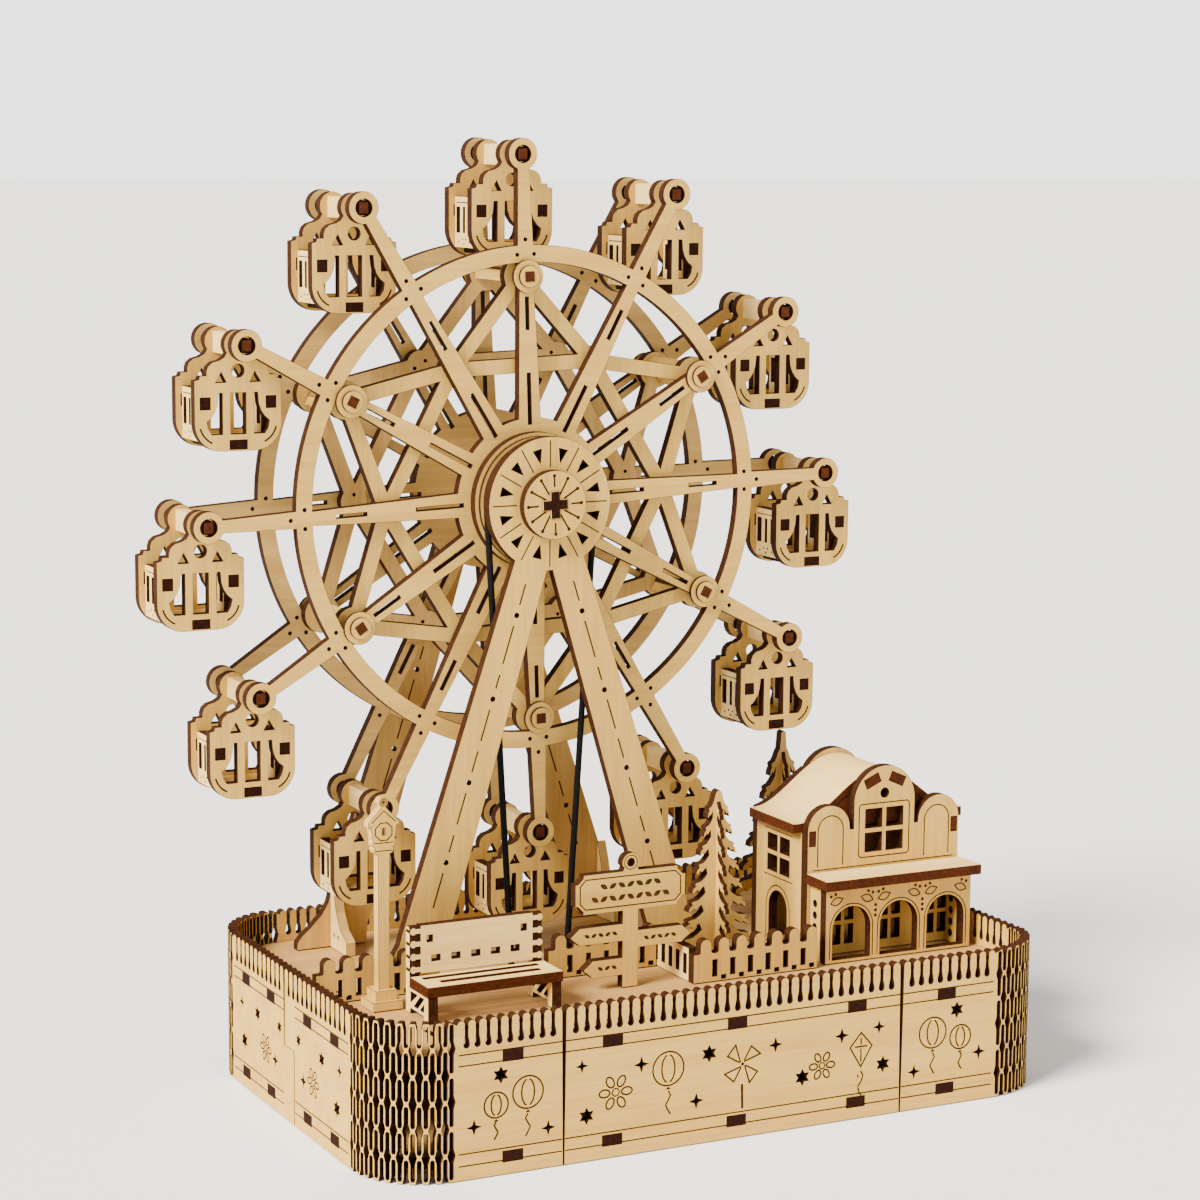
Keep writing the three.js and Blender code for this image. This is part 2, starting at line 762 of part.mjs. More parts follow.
function cabinBody() {
  const inside = cabinHalfDepth - ply;
  const outer = sideCentre + ply / 2;
  const inner = sideCentre - ply / 2;
  const floorBottom = cabinDrop - cabinLip;
  const right = [
    [inner, -floorBottom], [outer, -floorBottom + ply], [outer, -sideTop],
    [inner, -sideTop], [inner, -floorBottom + ply],
  ];
  const tub = [...mirrored(right), ...right];
  return join(
    facing(cabinPlateOutline(), -cabinHalfDepth, ply, cabinWindows()),
    facing(cabinPlateOutline(), inside, ply, cabinWindows()),
    facing(tub, -inside, 2 * inside),
    block(hangerWidth, 2 * rimFace, hangerHeight, 0, 0, -hangerHeight / 2),
  );
}

function buildCabins() {
  const body = geometryOf(cabinBody());
  spokeAngles.forEach((angle, index) => {
    const [x, z] = polar(pivotRadius, angle);
    const name = `cabin_${String(index + 1).padStart(2, '0')}`;
    const cabin = piece(name, body.clone(), wood, wheel);
    cabin.position.set(x, 0, z);
  });
}

// Park: bench, lamp, signs, fences, trees and shop on the deck

function foot(x, y, width, depth) {
  deckSlots.push({ x, y, width, depth });
  return block(width, depth, ply + gap + over, x, y, -ply - gap);
}

function buildBench() {
  const x = wheelFromBase - benchLeft;
  const rear = wheelBehind - benchBeforeWheel;
  const front = rear - benchDepth;
  const seatBottom = benchSeat - ply;
  const post = rear - ply;
  const railBottom = seatBottom - ply;
  const frame = [
    [front, 0], [front + ply, 0], [front + ply, railBottom], [post, railBottom], [post, 0],
    [rear, 0], [rear, benchBack], [post, benchBack], [post, seatBottom], [front, seatBottom],
  ];
  const inner = benchWidth / 2 - ply;
  const slot = (place) => rectangle(x, place, 2 * benchSlot, ply / 2);
  const seatSlots = benchSeatShares.map((share) => slot(front + (post - front) * share));
  const backSlots = benchSlatShares.map((share) => slot(seatBottom + (benchBack - seatBottom) * share));
  const back = [
    [x - inner, benchSeat], [x + inner, benchSeat], [x + inner, benchBack], [x - inner, benchBack],
  ];
  piece('bench', join(
    sideways(frame, x - benchWidth / 2, ply),
    sideways(frame, x + inner, ply),
    flat(rectangle(x, (front + post) / 2, benchWidth, post - front), seatBottom, ply, seatSlots),
    facing(back, post, ply, backSlots),
  ), paleWood, park);
}

function buildLamp() {
  const x = -baseLength / 2 + ply + lampFromWall;
  const y = wheelBehind - lampBeforeWheel;
  const top = lampHeight - lanternHeight;
  const half = lanternWidth / 2;
  const lantern = moved([
    [-half, lanternEave], [-lampPost / 2, 0], [lampPost / 2, 0], [half, lanternEave],
    [half, lanternEave * 2], [lampPost / 2, lanternHeight],
    [-lampPost / 2, lanternHeight], [-half, lanternEave * 2],
  ], x, top);
  const light = roundHole(x, top + lanternHeight / 2, lampPost / 2, 6);
  piece('lamp_post', join(
    block(lampBase, lampBase, ply, x, y, 0),
    block((lampBase + lampPost) / 2, (lampBase + lampPost) / 2, 2 * ply, x, y, 0),
    block(lampPost, lampPost, lampHeight - lanternHeight + over, x, y, 0),
    facing(lantern, y - lampPost / 2, lampPost, [light]),
    foot(x, y, lampPost, ply),
  ), wood, park);
}

function arrowSign(tail, tip, bottom) {
  const side = Math.sign(tip - tail);
  const shoulder = tip - side * arrowHeight / 2;
  return [
    [tail, bottom], [shoulder, bottom], [tip, bottom + arrowHeight / 2],
    [shoulder, bottom + arrowHeight], [tail, bottom + arrowHeight],
  ];
}

function buildSignpost() {
  const x = wheelFromBase + signRight;
  const y = wheelBehind - signBeforeWheel;
  const half = boardWidth / 2;
  const board = [
    [-half + boardClip, 0], [half - boardClip, 0], [half, boardClip], [half, boardHeight - boardClip],
    [half - boardClip, boardHeight], [-half + boardClip, boardHeight], [-half, boardHeight - boardClip],
    [-half, boardClip],
  ];
  const ring = boardBottom + boardHeight + signRing - over / 2;
  const outlines = [
    rectangle(0, boardBottom / 2 + over / 2, signPost, boardBottom + over),
    moved(board, 0, boardBottom),
    circle(0, ring, signRing, 8, Math.PI / 8),
    arrowSign(0, -leftArrowReach, leftArrowBottom),
    arrowSign(0, rightArrowReach, rightArrowBottom),
    arrowSign(0, -lowArrowReach, lowArrowBottom),
  ];
  const post = join(...outlines.map((points) => facing(moved(points, x, 0), y - ply / 2, ply)));
  const eye = facing(roundHole(x, ring, signRing / 2, 6), y - ply / 2 - over, ply + 2 * over);
  piece('signpost', join(cut(post, [eye]), foot(x, y, signPost, ply)), wood, park);
}

function picketOutline(left, length) {
  const count = Math.round(length / picketPitch);
  const pitch = (length + picketNotch) / count;
  const tops = [...Array(count).keys()].flatMap((index) => {
    const right = left + length - index * pitch;
    const next = right - pitch + picketNotch;
    const picket = [[right, fenceHeight], [next, fenceHeight]];
    const notch = [[next, fenceHeight - notchDepth], [next - picketNotch, fenceHeight - notchDepth]];
    return index < count - 1 ? [...picket, ...notch] : picket;
  });
  return [[left, 0], [left + length, 0], ...tops];
}

function buildFences() {
  const corner = wheelFromBase + signRight + boardWidth / 2;
  const frontY = wheelBehind - rightFenceBeforeWheel;
  const middleY = wheelBehind - standFace - fenceBeforeStand;
  const leftX = -baseLength / 2 + ply + leftFenceFromWall;
  const leftY = wheelBehind - leftFenceBeforeWheel;
  const middleX = corner - gap - middleFence;
  const fence = (left, length, y) => join(
    facing(picketOutline(left, length), y, ply),
    foot(left + length / 2, y + ply / 2, footTenon, ply),
  );
  const side = middleY + ply - frontY;
  const half = sideFenceHeight / 2;
  const panelSlots = sideFenceShares.map((share) => (
    rectangle(frontY + ply + (side - ply) * share, half, sideFenceSlot, half)));
  const panel = rectangle(frontY + side / 2, half, side, sideFenceHeight);
  piece('fence_left', fence(leftX, leftFence, leftY), wood, park);
  piece('fence_middle', fence(middleX, middleFence, middleY), wood, park);
  const rightFence = shopX - porchWidth / 2 - porchEave - fenceFromPorch - corner;
  piece('fence_right', join(
    fence(corner, rightFence, frontY), sideways(panel, corner, ply, panelSlots),
  ), wood, park);
}

function treeOutline(half, height) {
  const step = (height - treeSkirt) / treeLayers;
  const right = [[treeTrunk / 2, 0], [treeTrunk / 2, treeSkirt]];
  for (let layer = 0; layer < treeLayers; layer += 1) {
    const reach = treeTrunk / 2 + (half - treeTrunk / 2) * (1 - layer / treeLayers);
    right.push([reach, treeSkirt + layer * step]);
    if (layer < treeLayers - 1) {
      right.push([reach * treeNotchShare, treeSkirt + (layer + treeRiseShare) * step]);
    }
  }
  return [...right, [0, height], ...mirrored(right)];
}

function buildTree(name, x, y, halfWidth, halfDepth, height, finish) {
  const across = moved(treeOutline(halfWidth, height), x, 0);
  const along = moved(treeOutline(halfDepth, height), y, 0);
  piece(name, join(
    facing(across, y - ply / 2, ply),
    sideways(along, x - ply / 2, ply),
    foot(x, y, treeTrunk, ply),
  ), finish, park);
}

function buildTrees() {
  const frontX = wheelFromBase + frontTreeRight;
  const frontY = wheelBehind - standFace - over - frontTreeHalfDepth;
  buildTree('tree_front', frontX, frontY, frontTreeHalf, frontTreeHalfDepth, frontTreeHeight, paleWood);
  const rearX = baseLength / 2 - ply - rearTreeFromWall;
  const rearY = wheelBehind + rearTreeBehind;
  buildTree('tree_rear', rearX, rearY, rearTreeHalf, rearTreeHalfDepth, rearTreeHeight, shadedWood);
}

// Shop

const shopX = baseLength / 2 - ply - shopFromWall - shopWidth / 2;
const shopRear = wheelBehind - cabinHalfDepth - shopBeforeCabins;
const shopFront = shopRear - shopDepth;

function gableOutline() {
  const half = shopWidth / 2;
  const right = [
    [half, 0],
    ...arc(half - lobeArch, lobeTop - lobeArch, lobeArch, 0, Math.PI, 4),
    [gableArch, gableValley],
    ...arc(0, gableTop - gableArch, gableArch, 0, quarterTurn, 3),
  ];
  return [...right, ...mirrored(right).slice(1)];
}

function panes(u, v, width, height, barWidth) {
  const paneWidth = (width - barWidth) / 2;
  const paneHeight = (height - barWidth) / 2;
  return [[-1, -1], [1, -1], [1, 1], [-1, 1]].map(([side, level]) => rectangle(
    u + side * (paneWidth + barWidth) / 2, v + level * (paneHeight + barWidth) / 2, paneWidth, paneHeight,
  ));
}

function archedDoor(middle, sill, half, springing, steps) {
  return [
    [middle - half, sill], [middle + half, sill], ...arc(middle, springing, half, 0, Math.PI, steps),
  ];
}

function buildShopWalls() {
  const left = shopX - shopWidth / 2;
  const front = shopFront + ply + gap;
  const doorY = shopRear - sideDoorFromRear;
  const side = [[front, 0], [shopRear, 0], [shopRear, shopWallHeight], [front, shopWallHeight]];
  const openings = [
    archedDoor(doorY, -over, sideDoorHalf, sideDoorTop - sideDoorHalf, 4),
    ...panes(doorY, sideWindowMiddle, sideWindowWidth, sideWindowHeight, shopBar),
  ];
  piece('shop_walls', join(
    sideways(side, left, ply, openings),
    sideways(side, left + shopWidth - ply, ply),
    facing(moved(gableOutline(), shopX, 0), shopRear - ply, ply),
    foot(left + ply / 2, shopRear - footTenon, ply, footTenon),
    foot(left + shopWidth - ply / 2, shopRear - footTenon, ply, footTenon),
  ), wood, park);
  const windowHoles = panes(0, shopWindowMiddle, shopWindow, shopWindow, shopBar);
  piece('shop_front', facing(
    moved(gableOutline(), shopX, 0), shopFront, ply, windowHoles.map((hole) => moved(hole, shopX, 0)),
  ), wood, park);
}

function buildShopRoof() {
  const reach = shopWidth / 2 + eaveReach;
  const rise = ridgeHeight - eaveHeight;
  const upper = roofShares.map(([across, up]) => [reach * across, eaveHeight + rise * up]);
  const lower = upper.map(([u, v]) => [u, v - veneer]);
  const half = [...lower, ...upper.slice().reverse()];
  const front = shopFront + ply + gap;
  const length = shopRear - ply - gap - front;
  const sheet = (points) => facing(moved(points, shopX, 0), front, length);
  piece('shop_roof', join(sheet(half), sheet(mirrored(half))), paleWood, park);
}

function buildShopPorch() {
  const front = shopFront - gap - porchDepth;
  const half = porchWidth / 2;
  const arches = [-1, 0, 1].map((side) => (
    archedDoor(shopX + side * porchArchPitch, -over, porchArchHalf, porchArchTop - porchArchHalf, 4)));
  const wall = rectangle(shopX, porchHeight / 2, porchWidth, porchHeight);
  const slab = porchWidth + 2 * porchEave;
  piece('shop_porch', join(
    facing(wall, front, ply, arches),
    block(ply, porchDepth, porchHeight, shopX - half + ply / 2, front + porchDepth / 2, 0),
    block(ply, porchDepth, porchHeight, shopX + half - ply / 2, front + porchDepth / 2, 0),
    block(slab, porchDepth + porchLip, ply, shopX, front + (porchDepth - porchLip) / 2, porchHeight),
  ), wood, park);
}

// Music movement under the deck, belt and winding key

const cylinderRear = cylinderFront + cylinderLength;
const bearingFront = cylinderFront - endWheelThickness - gap - bearingThickness;
const bearingRear = cylinderRear + pinionLength + gap;
const springFront = cylinderRear + gap;
const drumFront = springFront + springWheelThickness + gap;
const bedTop = floorTop + gap + bedThickness - cylinderHeight;
const governorPlace = polar(endWheelPitch + governorPitch, governorAngle);

function gearOutline(u, v, pitchRadius, teeth, toothAngle) {
  const step = 2 * Math.PI / teeth;
  return [...Array(teeth).keys()].flatMap((index) => [
    polar(pitchRadius + addendum, toothAngle + index * step),
    polar(pitchRadius - dedendum, toothAngle + (index + 0.5) * step),
  ]).map(([x, z]) => [x + u, z + v]);
}

function buildBedplate() {
  const left = springX - drumRadius - bedMargin;
  const right = combTip + combTooth + combBody + bedMargin;
  const front = bearingFront - bedMargin;
  const rear = drumFront + drumLength + bedMargin;
  const boss = -combThickness / 2 - gap - bedTop;
  const bearing = (y, height, width) => facing([
    [-width / 2, bedTop - over], [width / 2, bedTop - over], [width / 2, height], [-width / 2, height],
  ], y, bearingThickness);
  const shaftBore = roundHole(0, 0, arborRadius + gap, 8);
  const governorBore = roundHole(...governorPlace, governorRadius + gap, 6);
  const borePitch = bearingRear - bearingFront;
  const bores = [
    facing(shaftBore, bearingFront - over, borePitch + 2 * bearingThickness),
    facing(governorBore, bearingFront - over, bearingThickness + 2 * over),
  ];
  const bed = moved(rectangle(0, 0, right - left, rear - front), (left + right) / 2, (front + rear) / 2);
  const body = join(
    flat(bed, bedTop - bedThickness, bedThickness),
    bearing(bearingFront, governorPlace[1] + bearingHead, 2 * (governorPlace[0] + bearingHead)),
    bearing(bearingRear, arborRadius + bearingHead, 2 * (arborRadius + bearingHead)),
    block(combBody, combLength, boss + over, combTip + combTooth + combBody / 2, combMiddle, bedTop - over),
  );
  piece('movement_bedplate', cut(body, bores), brass, movement);
}

function buildComb() {
  const pitch = combLength / combTeeth;
  const root = combTip + combTooth;
  const end = root + combBody;
  const rear = combMiddle + combLength / 2;
  const tips = [...Array(combTeeth).keys()].flatMap((index) => {
    const top = rear - index * pitch;
    const bottom = top - pitch + combSlit;
    return [[root, top], [combTip, top], [combTip, bottom], [root, bottom]];
  });
  piece('movement_comb', flat(
    [[end, rear - combLength + combSlit], [end, rear], ...tips], -combThickness / 2, combThickness,
  ), steel, movement);
}

function buildSpring() {
  const bore = roundHole(springX, 0, keyArborRadius + gap, 6);
  const teeth = Math.round(pinionTeeth * springWheelPitch / pinionPitch);
  const step = 2 * Math.PI / teeth;
  const wheelTeeth = gearOutline(springX, 0, springWheelPitch, teeth, step / 2);
  piece('spring_wheel', facing(wheelTeeth, springFront, springWheelThickness, [bore]), brass, movement);
  const drumMiddle = drumFront + drumLength / 2;
  const seat = block(drumRadius, drumLength / 2, drumRadius, springX, drumMiddle, bedTop + gap);
  const drum = join(facing(circle(springX, 0, drumRadius, 16), drumFront, drumLength), seat);
  const through = facing(bore, drumFront - over, drumLength + 2 * over);
  piece('spring_barrel', cut(drum, [through]), brass, movement);
}

function buildCylinder() {
  const end = bearingRear + bearingThickness + shaftEnd;
  const start = grooveY - pulleyWidth / 2 - shaftEnd;
  const teeth = Math.round(governorTeeth * endWheelPitch / governorPitch);
  const pinLength = pinHeight + over;
  const pinPlace = cylinderRadius - over + pinLength / 2;
  const pins = [...Array(combTeeth).keys()].map((index) => {
    const place = combMiddle + combLength / 2 - (index + 0.5) * combLength / combTeeth + combSlit / 2;
    const pin = block(pinLength, pinSize, pinSize, pinPlace, 0, -pinSize / 2);
    return pin.rotateY(index * pinTurn).translate(0, place, 0);
  });
  const endWheel = gearOutline(0, 0, endWheelPitch, teeth, governorAngle);
  piece('pinned_cylinder', join(
    bar(arborRadius, start, end - start, 8),
    bar(cylinderRadius, cylinderFront, cylinderLength, 16),
    facing(endWheel, cylinderFront - endWheelThickness, endWheelThickness),
    facing(gearOutline(0, 0, pinionPitch, pinionTeeth, Math.PI), cylinderRear, pinionLength),
    ...pins,
  ), brass, movement);
  const bore = roundHole(0, 0, arborRadius + gap, 8);
  const pulley = pulleyBody(driveFlange, driveGroove, grooveY - pulleyWidth / 2, bore, 14);
  piece('drive_pulley', pulley, wood, movement);
}

function buildGovernor() {
  const [x, z] = governorPlace;
  const step = 2 * Math.PI / governorTeeth;
  const pinionFront = cylinderFront - endWheelThickness;
  const flyRear = bearingFront - gap;
  const flyFront = flyRear - flyLength;
  const flyWing = rectangle(x, z, 2 * flyRadius, governorRadius);
  const toothAngle = governorAngle + Math.PI + step / 2;
  const pinion = gearOutline(x, z, governorPitch, governorTeeth, toothAngle);
  piece('governor', join(
    bar(governorRadius, flyFront, pinionFront + endWheelThickness - flyFront, 6, x, z),
    facing(pinion, pinionFront, endWheelThickness),
    facing(flyWing, flyFront, flyLength),
  ), steel, movement);
}

function buildKey() {
  const wallFace = baseDepth / 2 - wheelBehind;
  const end = wallFace + keyReach;
  const grip = end - keyWing;
  const start = springFront - gap;
  const wings = [-1, 1].map((side) => (
    flat(circle(springX + side * keyWingCentre, grip, keyWing, 8), -keyThickness / 2, keyThickness, [
      roundHole(springX + side * keyWingCentre, grip, keyWing / 2, 6),
    ])));
  piece('winding_key', join(
    bar(keyArborRadius, start, grip - start, 8, springX, 0),
    block(2 * (keyWingCentre - keyWing / 2), keyWing, keyThickness, springX, grip, -keyThickness / 2),
    ...wings,
  ), brass, movement);
}

// The belt runs straight between its two arcs
function beltOutline(inset) {
  const distance = axleHeight - cylinderHeight;
  const lean = Math.asin((pulleyGroove - driveGroove) / distance);
  const upper = pulleyGroove + 2 * gap + inset;
  const lower = driveGroove + 2 * gap + inset;
  return [
    ...arc(0, distance, upper, -lean, Math.PI + lean, 10),
    ...arc(0, 0, lower, Math.PI + lean, 2 * Math.PI - lean, 6),
  ];
}

function buildBelt() {
  const distance = axleHeight - cylinderHeight;
  const lean = Math.asin((pulleyGroove - driveGroove) / distance);
  const share = (deckTop - ply / 2 - cylinderHeight) / distance;
  const radius = driveGroove + (pulleyGroove - driveGroove) * share;
  const middle = (radius + 2 * gap + beltWidth / 2) / Math.cos(lean);
  piece('drive_belt', facing(
    beltOutline(beltWidth), grooveY - beltWidth / 2, beltWidth, [beltOutline(0)],
  ), blackRubber, movement);
  const slot = beltWidth + 2 * gap;
  for (const side of [-1, 1]) {
    deckSlots.push({
      x: wheelFromBase + side * middle, y: wheelBehind + grooveY, width: slot, depth: slot,
    });
  }
}

buildBox();
buildWheel();
buildHub();
buildStand();
buildCabins();
buildBench();
buildLamp();
buildSignpost();
buildFences();
buildTrees();
buildShopWalls();
buildShopRoof();
buildShopPorch();
buildBedplate();
buildComb();
buildSpring();
buildCylinder();
buildGovernor();
buildKey();
buildBelt();
buildDeck();

export default whole;
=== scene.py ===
import json
import math

import bpy
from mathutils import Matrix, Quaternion, Vector


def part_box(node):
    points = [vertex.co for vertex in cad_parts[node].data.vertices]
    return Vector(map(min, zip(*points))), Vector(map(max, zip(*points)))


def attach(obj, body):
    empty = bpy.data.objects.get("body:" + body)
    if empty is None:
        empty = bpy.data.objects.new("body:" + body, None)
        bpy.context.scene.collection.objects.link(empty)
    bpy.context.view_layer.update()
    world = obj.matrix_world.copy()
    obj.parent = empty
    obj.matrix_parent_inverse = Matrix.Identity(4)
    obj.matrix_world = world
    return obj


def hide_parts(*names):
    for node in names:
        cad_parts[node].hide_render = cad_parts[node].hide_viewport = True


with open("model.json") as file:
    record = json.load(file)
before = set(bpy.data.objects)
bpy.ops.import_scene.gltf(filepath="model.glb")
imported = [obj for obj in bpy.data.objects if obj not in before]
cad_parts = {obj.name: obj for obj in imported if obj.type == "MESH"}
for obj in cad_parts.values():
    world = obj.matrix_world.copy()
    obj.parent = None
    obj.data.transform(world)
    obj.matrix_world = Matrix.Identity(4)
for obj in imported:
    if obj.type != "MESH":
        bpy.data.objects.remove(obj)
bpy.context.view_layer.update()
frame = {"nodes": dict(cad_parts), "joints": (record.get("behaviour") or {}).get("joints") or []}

MM = 0.001
PLY = 3.0
FIT = 0.05              # clearance between a tenon and its slot, on each side
SCORCH = 0.12           # width of the burnt rim round every cut
PIN_SCORCH = 0.05       # the same round the end of a pin
LINE = 0.5              # width of an engraved line
FINE = 0.4              # width of a finer one
CUT_DEPTH = 0.35        # depth of an engraved line
TURNS = {"flat": (0, 0, 0), "front": (math.pi / 2, 0, 0), "side": (math.pi / 2, 0, math.pi / 2)}


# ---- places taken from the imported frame, in millimetres

def span(node):
    low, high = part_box(node)
    return [c / MM for c in low], [c / MM for c in high]


def middle_of(node):
    return [(a + b) / 2 for a, b in zip(*span(node))]


def joint_place(name):
    joint = next(j for j in frame["joints"] if j["name"] == name)
    return [c / MM for c in joint["pos_m"]]


wheel_x, wheel_y, wheel_z = joint_place("wheel_spin")
deck_low, deck_high = span("deck")
base_x, base_y, _ = middle_of("deck")
base_half = deck_high[0] - base_x
base_deep = deck_high[1] - base_y
wall_top = span("wall_corner_front_left")[1][2]
deck_top = deck_high[2]
ground = deck_top + 0.3         # where the park's pieces start
hub_place = wheel_x, wheel_z
TURN = math.radians(1.91)       # how far the wheel is turned in the photo
SECTOR = math.pi / 6
spokes = [math.pi / 2 + TURN + i * SECTOR for i in range(12)]
ties = spokes[::2]


# ---- shader nodes

def shader_node(tree, kind, inputs, **settings):
    """Adds a node with its settings. Each input is linked to a socket or gets a value."""
    node = tree.nodes.new("ShaderNode" + kind)
    for setting, value in settings.items():
        setattr(node, setting, value)
    for socket, value in inputs.items():
        if isinstance(value, bpy.types.NodeSocket):
            tree.links.new(value, node.inputs[socket])
        else:
            node.inputs[socket].default_value = value
    return node


# ---- camera, light and floor

def aim(place, target):
    return (Vector(target) - Vector(place)).to_track_quat("-Z", "Y")


def add_camera():
    """Stands where the photo was taken from, with the photo's small roll and off centre crop."""
    place = Vector((-402.8, -804.3, 281.8)) * MM
    target = Vector((3.5, 17.5, 141.5)) * MM
    bpy.ops.object.camera_add(location=place)
    camera = bpy.context.object
    camera.rotation_mode = "QUATERNION"
    camera.rotation_quaternion = aim(place, target) @ Quaternion((0, 0, 1), math.radians(0.32))
    camera.data.sensor_width = 36
    camera.data.lens = 92.4
    camera.data.shift_x = 0.0386
    camera.data.shift_y = 0.0008
    camera.data.clip_start = 0.01
    camera.data.clip_end = 100
    bpy.context.scene.camera = camera


def add_lamp(name, kind, place, target, power, colour):
    bpy.ops.object.light_add(type=kind, location=place)
    lamp = bpy.context.object
    lamp.name = name
    lamp.rotation_euler = aim(place, target).to_euler()
    lamp.data.energy = power
    lamp.data.color = colour
    return lamp.data


def add_sky():
    """A soft white sky lights the scene. The camera sees a brighter one, in the tone of the floor."""
    world = bpy.data.worlds.new("studio")
    bpy.context.scene.world = world
    world.use_nodes = True
    tree = world.node_tree
    sky = tree.nodes["Background"]
    sky.inputs["Color"].default_value = (1.0, 0.99, 0.975, 1)
    sky.inputs["Strength"].default_value = 0.7
    backdrop = shader_node(tree, "Background", {"Color": (1.0, 0.975, 0.945, 1), "Strength": 2.85})
    ray = shader_node(tree, "LightPath", {})
    inputs = {"Fac": ray.outputs["Is Camera Ray"], 1: sky.outputs[0], 2: backdrop.outputs[0]}
    choice = shader_node(tree, "MixShader", inputs)
    tree.links.new(choice.outputs["Shader"], tree.nodes["World Output"].inputs["Surface"])


def add_studio():
    add_sky()
    fill = add_lamp("fill", "AREA", (0.8, -1.3, 0.5), (0, 0, 0.12), 8, (1, 0.97, 0.93))
    fill.size = 1.3
    key = add_lamp("key", "SUN", (-1.4, -0.4, 1.2), (0, 0, 0), 11.0, (1, 0.96, 0.89))
    key.angle = math.radians(24)
    bpy.ops.mesh.primitive_plane_add(size=30, location=(0, 0, -0.2 * MM))
    floor = bpy.context.object
    floor.name = "floor"
    material = bpy.data.materials.new("floor_paper")
    material.use_nodes = True
    shader = material.node_tree.nodes["Principled BSDF"]
    shader.inputs["Base Color"].default_value = (0.96, 0.955, 0.945, 1)
    shader.inputs["Roughness"].default_value = 0.9
    floor.data.materials.append(material)


# ---- materials

def new_group(name, inputs):
    """A group with named inputs that gives a colour, a roughness and a height."""
    group = bpy.data.node_groups.new(name, "ShaderNodeTree")
    outputs = {"Color": "Color", "Roughness": "Float", "Height": "Float"}
    for direction, sockets in (("INPUT", inputs), ("OUTPUT", outputs)):
        for socket, kind in sockets.items():
            group.interface.new_socket(socket, in_out=direction, socket_type="NodeSocket" + kind)
    return group, group.nodes.new("NodeGroupInput").outputs, group.nodes.new("NodeGroupOutput").inputs


def veneer_group():
    """Birch veneer: soft broad figure, fine fibre lines and short pores, along one axis."""
    group, given, result = new_group("birch_veneer", {"Vector": "Vector", "Light": "Color", "Dark": "Color"})

    def streaks(scale, detail, low, high):
        """Noise between 0 and 1, with soft ends at two levels of the texture."""
        noise = shader_node(group, "TexNoise", {"Vector": given["Vector"], "Scale": scale, "Detail": detail})
        levels = {"Value": noise.outputs["Fac"], "From Min": low, "From Max": high}
        return shader_node(group, "MapRange", levels, interpolation_type="SMOOTHSTEP").outputs["Result"]

    def mixed(factor, first, second):
        inputs = {"Factor": factor, "A": first, "B": second}
        return shader_node(group, "Mix", inputs, data_type="RGBA").outputs["Result"]

    def calculated(kind, first, second):
        return shader_node(group, "Math", {0: first, 1: second}, operation=kind).outputs[0]

    figure = streaks(0.16, 2, 0.32, 0.68)
    fibre = streaks(1.0, 5, 0.3, 0.7)
    pores = streaks(2.6, 3, 0.63, 0.74)
    share = calculated("ADD", calculated("MULTIPLY", figure, 0.55), calculated("MULTIPLY", fibre, 0.45))
    colour = mixed(share, given["Light"], given["Dark"])
    rough = calculated("ADD", calculated("MULTIPLY", fibre, 0.16), 0.56)
    group.links.new(mixed(calculated("MULTIPLY", pores, 0.45), colour, PORE), result["Color"])
    group.links.new(rough, result["Roughness"])
    group.links.new(calculated("SUBTRACT", fibre, pores), result["Height"])
    return group


def speckle_group():
    """Fine speckles: the tone and the roughness wander between two values."""
    group, given, result = new_group("fine_speckle", {
        "Vector": "Vector", "Light": "Color", "Dark": "Color", "Smoothest": "Float", "Roughest": "Float"})
    texture = shader_node(group, "TexNoise", {"Vector": given["Vector"], "Scale": 1.0, "Detail": 5})
    noise = texture.outputs["Fac"]
    share = shader_node(group, "MapRange", {"Value": noise, "From Min": 0.35, "From Max": 0.68})
    tones = {"Factor": share.outputs["Result"], "A": given["Dark"], "B": given["Light"]}
    limits = {"Value": noise, "To Min": given["Smoothest"], "To Max": given["Roughest"]}
    group.links.new(shader_node(group, "Mix", tones, data_type="RGBA").outputs["Result"], result["Color"])
    group.links.new(shader_node(group, "MapRange", limits).outputs["Result"], result["Roughness"])
    group.links.new(noise, result["Height"])
    return group


PORE = (0.30, 0.165, 0.05, 1)
# Birch tones. birch_in_shade is birch painted darker as shade, for the parts at the back. pale_and_lit is a
# paler birch; on sheets turned towards the key lamp, above and to the left, it also stands in for their light
# as a painted highlight.
TONES = {
    "birch": ((0.645, 0.40, 0.09, 1), (0.53, 0.302, 0.057, 1)),
    "pale_and_lit": ((0.84, 0.59, 0.215, 1), (0.73, 0.475, 0.145, 1)),
    "birch_in_shade": ((0.62, 0.395, 0.12, 1), (0.48, 0.285, 0.075, 1)),
    "deck": ((0.53, 0.305, 0.10, 1), (0.41, 0.215, 0.062, 1)),
}
GRAIN = {"x": (55, 850, 850), "y": (850, 55, 850), "z": (850, 850, 55)}
VENEER = veneer_group()
SPECKLE = speckle_group()
woods = {}


def textured(name, group, scale, inputs, bump_strength):
    """A material whose tone, roughness and fine relief come from a node group, in object coordinates."""
    material = bpy.data.materials.new(name)
    material.use_nodes = True
    tree = material.node_tree
    shader = tree.nodes["Principled BSDF"]
    place = shader_node(tree, "TexCoord", {}).outputs["Object"]
    mapping = shader_node(tree, "Mapping", {"Vector": place, "Scale": scale})
    inputs["Vector"] = mapping.outputs["Vector"]
    pattern = shader_node(tree, "Group", inputs, node_tree=group).outputs
    relief = {"Height": pattern["Height"], "Strength": bump_strength, "Distance": 0.1 * MM}
    tree.links.new(pattern["Color"], shader.inputs["Base Color"])
    tree.links.new(pattern["Roughness"], shader.inputs["Roughness"])
    tree.links.new(shader_node(tree, "Bump", relief).outputs["Normal"], shader.inputs["Normal"])
    return material, shader


